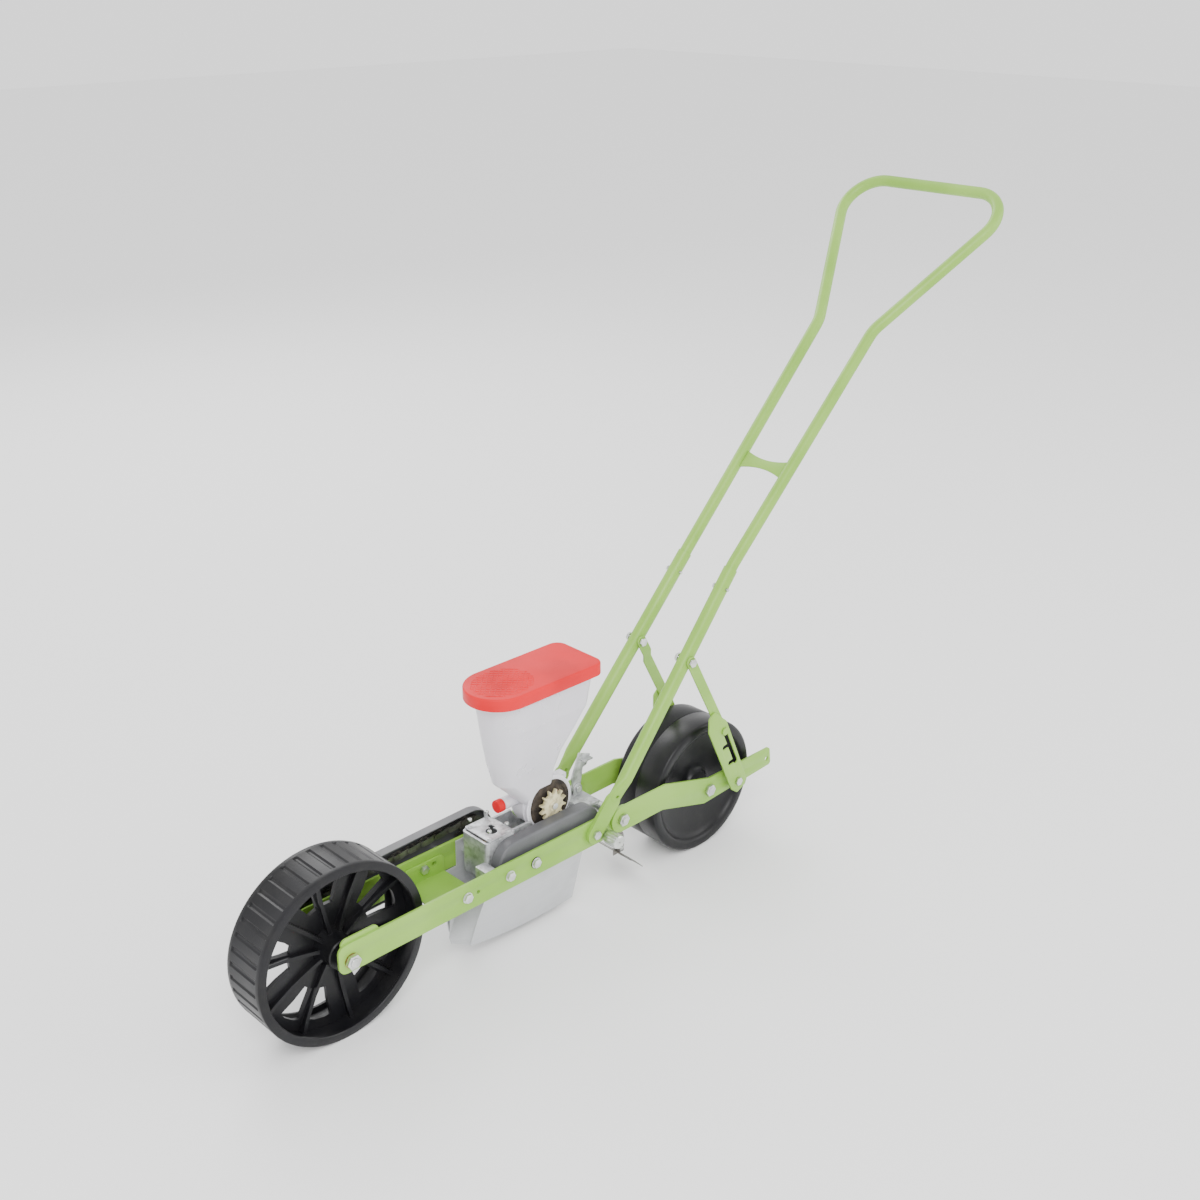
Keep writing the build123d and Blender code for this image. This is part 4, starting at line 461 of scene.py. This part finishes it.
def addWeb(bm):
    # Polar grid of solid and open cells; the grid leans with the sides of the windows.
    w = driveWheel
    windowOut = wheelR - w["windowRim"]
    half = 180.0 / w["pairs"]
    columns = [(-half, -half), (-31, -33), (-26, -30), (-21, -26.5), (-w["farIn"], -w["farOut"]),
               (-13, -18), (-10, -13.5), (-7, -9), (-w["near"], -w["near"]), (0, 0)]
    columns += [(-inner, -outer) for inner, outer in columns[-2:0:-1]]
    openColumns = (4, 5, 6, 7, 10, 11, 12, 13)
    rows = [0.020, 0.042, w["windowIn"], 0.088, windowOut, wheelR - w["wall"] - 0.0005]
    openRows = (2, 3)
    grid = {}
    total = len(columns) * w["pairs"]
    for k in range(total):
        pair, column = divmod(k, len(columns))
        inner, outer = columns[column]
        base = w["pairTurn"] + pair * 360.0 / w["pairs"]
        for i, r in enumerate(rows):
            share = min(1.0, max(0.0, (r - w["windowIn"]) / (windowOut - w["windowIn"])))
            reach = r - w["bow"] if i == 4 and column in (4, 8, 10, 14) else r
            for side in (-1, 1):
                grid[k, i, side] = onWheel(bm, reach, base + inner + (outer - inner) * share,
                                           side * w["web"] / 2)

    def solid(k, i):
        return not (k % len(columns) in openColumns and i in openRows)

    for k in range(total):
        n = (k + 1) % total
        for i in range(len(rows) - 1):
            if not solid(k, i):
                continue
            for side in (-1, 1):
                bm.faces.new((grid[k, i, side], grid[n, i, side], grid[n, i + 1, side],
                              grid[k, i + 1, side]))
            if i == 0 or not solid(k, i - 1):
                bm.faces.new((grid[k, i, -1], grid[n, i, -1], grid[n, i, 1], grid[k, i, 1]))
            if i == len(rows) - 2 or not solid(k, i + 1):
                bm.faces.new((grid[k, i + 1, -1], grid[n, i + 1, -1], grid[n, i + 1, 1], grid[k, i + 1, 1]))
            if not solid((k - 1) % total, i):
                bm.faces.new((grid[k, i, -1], grid[k, i + 1, -1], grid[k, i + 1, 1], grid[k, i, 1]))
            if not solid(n, i):
                bm.faces.new((grid[n, i, -1], grid[n, i + 1, -1], grid[n, i + 1, 1], grid[n, i, 1]))


def addWebRib(bm, degreesTurn, thick, wide):
    # A rib that is deepest at the hub and at the barrel.
    turn = radians(degreesTurn)
    c, sn = cos(turn), sin(turn)
    inner, outer = 0.021, wheelR - driveWheel["wall"] - 0.0006
    rows = []
    for share, depth in ((0.0, 1.0), (0.2, 0.78), (0.5, 0.62), (0.82, 0.74), (1.0, 1.0)):
        r = inner + (outer - inner) * share
        rows.append([bm.verts.new((wheelX + r * c - across * sn, y * depth, wheelZ + r * sn + across * c))
                     for across, y in ((-thick / 2, -wide / 2), (thick / 2, -wide / 2),
                                       (thick / 2, wide / 2), (-thick / 2, wide / 2))])
    for here, there in zip(rows, rows[1:]):
        for i in range(4):
            bm.faces.new((here[i], here[(i + 1) % 4], there[(i + 1) % 4], there[i]))
    bm.faces.new(rows[0])
    bm.faces.new(rows[-1])


def driveWheelMesh():
    w = driveWheel
    bm = bmesh.new()
    h = wheelHalf
    outer = [(wheelR - 0.0022, -h), (wheelR - 0.0006, -h + 0.0008), (wheelR, -h + 0.0026),
             (wheelR, -h + 0.0075), (wheelR - 0.0002, -h + 0.0087), (wheelR - 0.0002, h - 0.0087),
             (wheelR, h - 0.0075), (wheelR, h - 0.0026), (wheelR - 0.0006, h - 0.0008),
             (wheelR - 0.0022, h)]
    inner = [(wheelR - 0.0125, h), (wheelR - 0.0135, h - 0.0010), (wheelR - 0.0135, h - w["lip"]),
             (wheelR - 0.0120, h - w["lip"] - 0.0014), (wheelR - w["wall"] - 0.001, h - w["lip"] - 0.004),
             (wheelR - w["wall"], 0.0)]
    inner += [(r, -y) for r, y in inner[-2::-1]]
    rings = lathe(bm, outer + inner, wheelX, wheelZ, w["grooves"] * w["perGroove"])
    # The two middle points of the outer wall sink at each groove.
    for k, ring in enumerate(rings):
        if k % w["perGroove"] in (0, 1):
            for i in (4, 5):
                reach = Vector((ring[i].co.x - wheelX, 0, ring[i].co.z - wheelZ)).normalized()
                ring[i].co -= reach * w["grooveDeep"]
    addWeb(bm)
    for k in range(2 * w["pairs"]):
        addWebRib(bm, w["pairTurn"] + k * 180.0 / w["pairs"], w["rib"], w["ribWide"])
    hubHalf = wheelHalf - 0.002
    hub = [(w["bore"], -hubHalf), (w["hub"] - 0.0016, -hubHalf), (w["hub"], -hubHalf + 0.0016),
           (w["hub"], -0.012), (w["hub"] + 0.005, -0.004), (w["hub"] + 0.005, 0.004), (w["hub"], 0.012),
           (w["hub"], hubHalf - 0.0016), (w["hub"] - 0.0016, hubHalf), (w["bore"], hubHalf)]
    lathe(bm, hub, wheelX, wheelZ, 64)
    return meshFrom(bm, "driveWheel", 32)


newPiece("driveWheel", driveWheelMesh(), "wheelBlack", "front_wheel",
         ("front_wheel_rim", "front_wheel_web"))
print("drive wheel made")

# press wheel: two dished shells with a raised rim and a joint line between them
pressWheel = {"segments": 144, "rimRound": 0.0055, "dish": 0.0185, "rimWide": 0.0135, "hub": 0.0235,
              "seam": 0.0004}
low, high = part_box("rear_wheel_left_half")
pressX = (low.x + high.x) / 2
pressR = (high.x - low.x) / 2
pressZ = pressR
pressHalf = -low.y


def pressWheelMesh(side):
    w = pressWheel
    r, h, e = pressR, pressHalf, w["rimRound"]
    face = [(r - w["rimWide"], h), (r - w["rimWide"] - 0.0030, h - 0.0015),
            (r - w["rimWide"] - 0.0052, h - 0.0050), (r - w["rimWide"] - 0.0080, h - 0.0090),
            (r - 0.030, h - 0.0122), (r - 0.045, h - 0.0152), (r - 0.062, h - 0.0176),
            (0.036, h - w["dish"] - 0.0012), (0.029, h - w["dish"] - 0.0008),
            (w["hub"] + 0.0012, h - w["dish"] + 0.0015), (w["hub"], h - 0.0145),
            (w["hub"] - 0.0016, h - 0.0127)]
    tread = [(r - 0.0006, w["seam"] / 2), (r, w["seam"] + 0.0006), (r, h - e), (r - e * 0.12, h - e * 0.52),
             (r - e * 0.5, h - e * 0.12), (r - e, h)]
    back = [(0.0096, h - 0.0127), (0.0096, w["seam"] / 2)]
    bm = bmesh.new()
    lathe(bm, [(radius, side * y) for radius, y in tread + face + back], pressX, pressZ, w["segments"])
    return meshFrom(bm, "pressWheel", 40)


for side, word in ((-1, "left"), (1, "right")):
    newPiece("pressWheel" + word.capitalize(), pressWheelMesh(side), "wheelBlack", "rear_wheel",
             (f"rear_wheel_{word}_half",))
print("press wheel made")

# hopper lid: raised crossed ribs near the nose
lidGrip = {"pitch": 0.0072, "rib": 0.0018, "high": 0.0010, "long": 0.098, "wide": 0.082, "fromNose": 0.009}


def addLidRibs(bm):
    low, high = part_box("hopper_lid")
    g = lidGrip
    centreX = low.x + g["fromNose"] + g["long"] / 2
    for lean in (1, -1):
        count = int((g["long"] + g["wide"]) / g["pitch"] / 1.42)
        for k in range(-count // 2, count // 2 + 1):
            # Crossing line x - lean*y = k * pitch * sqrt 2, clipped by an ellipse.
            offset = k * g["pitch"] * 1.414
            points = []
            for t in range(-60, 61):
                y = t / 60 * g["wide"] / 2
                x = offset + lean * y
                if (x / (g["long"] / 2)) ** 2 + (y / (g["wide"] / 2)) ** 2 <= 1:
                    points.append((x, y))
            if len(points) < 8:
                continue
            (x0, y0), (x1, y1) = points[0], points[-1]
            run = hypot(x1 - x0, y1 - y0)
            nx, ny = -(y1 - y0) / run * g["rib"] / 2, (x1 - x0) / run * g["rib"] / 2
            base = high.z - 0.0003
            corners = []
            for z, share in ((base, 1.0), (high.z + g["high"] - 0.0003, 0.55)):
                corners.append([bm.verts.new((centreX + x + sx * nx * share, y + sx * ny * share, z))
                                for x, y, sx in ((x0, y0, 1), (x1, y1, 1), (x1, y1, -1), (x0, y0, -1))])
            bottom, top = corners
            for i in range(4):
                bm.faces.new((bottom[i], bottom[(i + 1) % 4], top[(i + 1) % 4], top[i]))
            bm.faces.new(top)
            bm.faces.new(bottom)


softened("hopper_lid", 0.0008, 2, extra=addLidRibs)
print("lid made")


# chains: side plates and pins round each pair of sprockets
sprocketTeeth = 12
chains = {
    "wheel_chain": {"pitch": 0.0127, "rollerR": 0.0042, "plateT": 0.0011,
                    "sprockets": ("wheel_sprocket", "counter_input_sprocket")},
    "meter_chain": {"pitch": 0.009525, "rollerR": 0.0031, "plateT": 0.0011,
                    "sprockets": ("counter_output_sprocket", "metering_sprocket")}}


def chainMesh(node):
    chain = chains[node]
    pitch, rollerR, plateT = chain["pitch"], chain["rollerR"], chain["plateT"]
    low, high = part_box(node)
    centres = []
    for sprocket in chain["sprockets"]:
        a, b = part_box(sprocket)
        centres.append(((a.x + b.x) / 2, (a.z + b.z) / 2))
    (x1, z1), (x2, z2) = centres
    ring = pitch / 2 / sin(pi / sprocketTeeth)
    reach = hypot(x2 - x1, z2 - z1)
    lean = atan2(z2 - z1, x2 - x1)
    loop = 2 * reach + 2 * pi * ring
    links = round(loop / pitch / 2) * 2
    yMid = (low.y + high.y) / 2
    yHalf = (high.y - low.y) / 2

    def along(s):
        s %= loop
        if s < reach:
            u, v = s, ring
        elif s < reach + pi * ring:
            turn = pi / 2 - (s - reach) / ring
            u, v = reach + ring * cos(turn), ring * sin(turn)
        elif s < 2 * reach + pi * ring:
            u, v = reach - (s - reach - pi * ring), -ring
        else:
            turn = -pi / 2 - (s - 2 * reach - pi * ring) / ring
            u, v = ring * cos(turn), ring * sin(turn)
        return x1 + u * cos(lean) - v * sin(lean), z1 + u * sin(lean) + v * cos(lean)

    bm = bmesh.new()
    points = [along(loop * k / links) for k in range(links)]
    for k, (x, z) in enumerate(points):
        nx, nz = points[(k + 1) % links]
        outside = k % 2
        inner = yHalf - (plateT if outside else 2.1 * plateT)
        for side in (-1, 1):
            y0, y1 = sorted((yMid + side * inner, yMid + side * (inner + plateT * 0.92)))
            addLinkPlate(bm, x, z, nx, nz, rollerR * 1.15, y0, y1)
        pin = yHalf if outside else yHalf - plateT
        lathe(bm, [(0.0003, yMid - pin), (rollerR * 0.5, yMid - pin), (rollerR * 0.5, yMid + pin),
                   (0.0003, yMid + pin)], x, z, 8)
    return meshFrom(bm, node + "Links", 30)


def addLinkPlate(bm, x0, z0, x1, z1, r, y0, y1):
    turn = atan2(z1 - z0, x1 - x0)
    rim = []
    for x, z, start in ((x1, z1, turn - pi / 2), (x0, z0, turn + pi / 2)):
        for k in range(5):
            a = start + pi * k / 4
            rim.append((x + r * cos(a), z + r * sin(a)))
    near = [bm.verts.new((x, y0, z)) for x, z in rim]
    far = [bm.verts.new((x, y1, z)) for x, z in rim]
    for i in range(len(rim)):
        j = (i + 1) % len(rim)
        bm.faces.new((near[i], near[j], far[j], far[i]))
    bm.faces.new(near)
    bm.faces.new(far)


for node in chains:
    newPiece(node + "Links", chainMesh(node), "oiledSteel", bodyOf[node], (node,))
print("chains made")

# roller brush: a moulded holder with two rows of bristle tufts
brush = {"tufts": 11, "tuftR": 0.00125, "holder": 0.006}
low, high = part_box("roller_brush")
rollerLow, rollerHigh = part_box("seed_roller")
rollerX, rollerZ = (rollerLow.x + rollerHigh.x) / 2, (rollerLow.z + rollerHigh.z) / 2
rollerR = (rollerHigh.x - rollerLow.x) / 2
bm = bmesh.new()
addBox(bm, (low.x, low.y, high.z - brush["holder"]), (high.x, high.y, high.z), bevel=0.0008)
for row in (0.3, 0.72):
    tuftX = low.x + (high.x - low.x) * row
    foot = rollerZ + (rollerR ** 2 - (tuftX - rollerX) ** 2) ** 0.5 + 0.0007
    for k in range(brush["tufts"]):
        tuftY = low.y + 0.0025 + (high.y - low.y - 0.005) * k / (brush["tufts"] - 1)
        top = [bm.verts.new((tuftX + brush["tuftR"] * cos(pi * i / 3),
                             tuftY + brush["tuftR"] * sin(pi * i / 3),
                             high.z - brush["holder"] + 0.0002)) for i in range(6)]
        flare = [bm.verts.new((tuftX + 1.5 * brush["tuftR"] * cos(pi * i / 3 + 0.3),
                               tuftY + 1.25 * brush["tuftR"] * sin(pi * i / 3 + 0.3),
                               foot)) for i in range(6)]
        for i in range(6):
            bm.faces.new((top[i], top[(i + 1) % 6], flare[(i + 1) % 6], flare[i]))
        bm.faces.new(top)
        bm.faces.new(flare)
newPiece("rollerBrush", meshFrom(bm, "rollerBrush"), "brushBlack", "frame",
         ("roller_brush",))

# clamp knob: fluted grip with a smooth collar
knob = {"flutes": 14, "deep": 0.0009, "collar": 0.0088}
low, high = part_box("coverer_clamp_knob")
knobX, knobZ = (low.x + high.x) / 2, (low.z + high.z) / 2
knobR = (high.x - low.x) / 2
profile = [(0.0052, high.y), (knob["collar"] - 0.0006, high.y), (knob["collar"], high.y - 0.0006),
           (knob["collar"], high.y - 0.0078), (knobR - 0.0012, high.y - 0.0084), (knobR, high.y - 0.0100),
           (knobR, low.y + 0.0040), (knobR - 0.0010, low.y + 0.0015), (knobR - 0.0030, low.y + 0.0002),
           (0.0010, low.y + 0.0006)]
bm = bmesh.new()
rings = lathe(bm, profile, knobX, knobZ, knob["flutes"] * 6)
for k, ring in enumerate(rings):
    if k % 6 in (0, 1):
        for i in (5, 6):
            reach = Vector((ring[i].co.x - knobX, 0, ring[i].co.z - knobZ)).normalized()
            ring[i].co -= reach * knob["deep"]
newPiece("clampKnob", meshFrom(bm, "clampKnob"), "zincPlate", "coverer_clamp_knob",
         ("coverer_clamp_knob",))

# clear rings round the roller room, and the details of the casting under it
roomRings = {"out": 0.0030, "thick": 0.0022, "places": (0.0012, 0.0105), "inset": 0.0006}
rollerLow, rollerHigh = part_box("seed_roller")
roomR = rollerR + 0.0036
bm = bmesh.new()
for place in roomRings["places"]:
    y0 = rollerLow.y + place
    y1 = y0 + roomRings["thick"]
    soft = roomRings["inset"]
    lathe(bm, [(roomR - soft, y0), (roomR + roomRings["out"] - soft, y0),
               (roomR + roomRings["out"], y0 + soft), (roomR + roomRings["out"], y1 - soft),
               (roomR + roomRings["out"] - soft, y1), (roomR - soft, y1)],
          rollerX, rollerZ, 72)
newPiece("roomRings", meshFrom(bm, "roomRings", 40), "clearPlastic", "frame")

capScrew = {"head": 0.0031, "high": 0.0026, "socket": 0.0015, "inset": 0.0062}


def addCapScrew(bm, x, y, z):
    # Round head on a level face, with a six-sided hollow in its top.
    sides = 24
    rim = []
    for r, up in ((capScrew["head"], -0.0004), (capScrew["head"], capScrew["high"] - 0.0005),
                  (capScrew["head"] - 0.0005, capScrew["high"])):
        rim.append([bm.verts.new((x + r * cos(2 * pi * k / sides), y + r * sin(2 * pi * k / sides), z + up))
                    for k in range(sides)])
    for up in (capScrew["high"], capScrew["high"] - 0.0016):
        ring = []
        for k in range(sides):
            turn = 2 * pi * k / sides
            flat = capScrew["socket"] / cos((turn + pi / 6) % (pi / 3) - pi / 6)
            ring.append(bm.verts.new((x + flat * cos(turn), y + flat * sin(turn), z + up)))
        rim.append(ring)
    for here, there in zip(rim, rim[1:]):
        for k in range(sides):
            bm.faces.new((here[k], here[(k + 1) % sides], there[(k + 1) % sides], there[k]))
    bm.faces.new(rim[0])
    bm.faces.new(rim[-1])


bm = bmesh.new()
low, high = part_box("case_top_plate")
inset = capScrew["inset"]
for x in (low.x + inset, high.x - inset):
    for y in (low.y + inset, high.y - inset):
        addCapScrew(bm, x, y, high.z)
newPiece("plateScrews", meshFrom(bm, "plateScrews", 30), "zincPlate", "frame")

castRibs = {"thick": 0.0034, "proud": 0.0042, "sink": 0.0006}
bm = bmesh.new()
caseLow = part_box("metering_case")[0]
plateLow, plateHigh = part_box("case_top_plate")
span = plateHigh.y - plateLow.y
for k in range(4):
    y = plateLow.y + span * (k + 0.5) / 4
    addBox(bm, (plateLow.x - castRibs["proud"], y - castRibs["thick"] / 2,
                caseLow.z + 0.014 + 0.004 * (k % 2)),
           (plateLow.x + castRibs["sink"], y + castRibs["thick"] / 2, plateLow.z - 0.003 - 0.006 * (k % 2)),
           bevel=0.0009)
newPiece("caseRibs", meshFrom(bm, "caseRibs", 30), "castAluminium", "frame")
print("casting details made")

# dark washer under the one bright bolt on the left bar
darkRing = {"in": 0.0068, "out": 0.0092, "thick": 0.0011, "station": 0.330}
boltX = wheelX + darkRing["station"]
barLow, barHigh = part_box("left_side_bar")
bm = bmesh.new()
lathe(bm, [(darkRing["in"], barLow.y - darkRing["thick"]),
           (darkRing["out"] - 0.0003, barLow.y - darkRing["thick"]),
           (darkRing["out"], barLow.y - darkRing["thick"] + 0.0003), (darkRing["out"], barLow.y),
           (darkRing["in"], barLow.y)], boltX, (barLow.z + barHigh.z) / 2, 48)
newPiece("boltWasher", meshFrom(bm, "boltWasher", 40), "wheelBlack", "frame")

# thread crests on the rod ends
bm = bmesh.new()
low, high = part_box("rear_pivot_rod")
rodX, rodZ = (low.x + high.x) / 2, (low.z + high.z) / 2
for side in (-1, 1):
    addThread(bm, rodX, rodZ, 0.00615, side * (high.y - 0.0026), side * (high.y - 0.0001))
newPiece("pivotThreads", meshFrom(bm, "pivotThreads", 60), "zincPlate", "frame")
bm = bmesh.new()
low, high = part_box("rear_axle")
for side in (-1, 1):
    addThread(bm, pressX, pressZ, 0.00615, side * (high.y - 0.0009), side * (high.y + 0.0003))
newPiece("rearAxleThreads", meshFrom(bm, "rearAxleThreads", 60), "zincPlate", "rear_arms")
print("small fittings made")

# floor, light and camera
bm = bmesh.new()
bmesh.ops.create_grid(bm, x_segments=2, y_segments=2, size=14.0)
floorMesh = bpy.data.meshes.new("floor")
bm.to_mesh(floorMesh)
bm.free()
floor = bpy.data.objects.new("floor", floorMesh)
bpy.context.scene.collection.objects.link(floor)
floorPaint = bpy.data.materials.new("paleFloor")
floorPaint.use_nodes = True
floorPaint.node_tree.nodes["Principled BSDF"].inputs["Base Color"].default_value = (0.92, 0.92, 0.92, 1)
floorPaint.node_tree.nodes["Principled BSDF"].inputs["Roughness"].default_value = 0.9
floorMesh.materials.append(floorPaint)
floor.location.z = -0.0002

world = bpy.data.worlds.new("studio")
bpy.context.scene.world = world
world.use_nodes = True
world.node_tree.nodes["Background"].inputs["Color"].default_value = (1.0, 1.0, 1.0, 1)
world.node_tree.nodes["Background"].inputs["Strength"].default_value = 1.5


def softLight(name, place, aim, size, power):
    lamp = bpy.data.lights.new(name, "AREA")
    lamp.shape = "DISK"
    lamp.size = size
    lamp.energy = power
    obj = bpy.data.objects.new(name, lamp)
    bpy.context.scene.collection.objects.link(obj)
    obj.location = place
    obj.rotation_euler = (Vector(aim) - Vector(place)).to_track_quat("-Z", "Y").to_euler()


softLight("keyLight", (-2.2, -2.4, 3.2), (0, 0, 0.3), 2.2, 130)
softLight("fillLight", (2.6, -2.8, 2.0), (0, 0, 0.4), 2.6, 50)
softLight("backLight", (0.8, 3.0, 2.6), (0, 0, 0.4), 2.2, 60)

shot = {"place": (-1.51855, -1.5075, 1.3946), "turn": 0.804, "down": 0.408, "lens": 46.16}
camera = bpy.data.cameras.new("camera")
camera.lens = shot["lens"]
camera.sensor_width = 36
camera.clip_end = 60
cameraObject = bpy.data.objects.new("camera", camera)
bpy.context.scene.collection.objects.link(cameraObject)
cameraObject.location = shot["place"]
look = Vector((cos(shot["turn"]) * cos(shot["down"]), sin(shot["turn"]) * cos(shot["down"]),
               -sin(shot["down"])))
cameraObject.rotation_euler = look.to_track_quat("-Z", "Y").to_euler()
bpy.context.scene.camera = cameraObject
print("stage made")
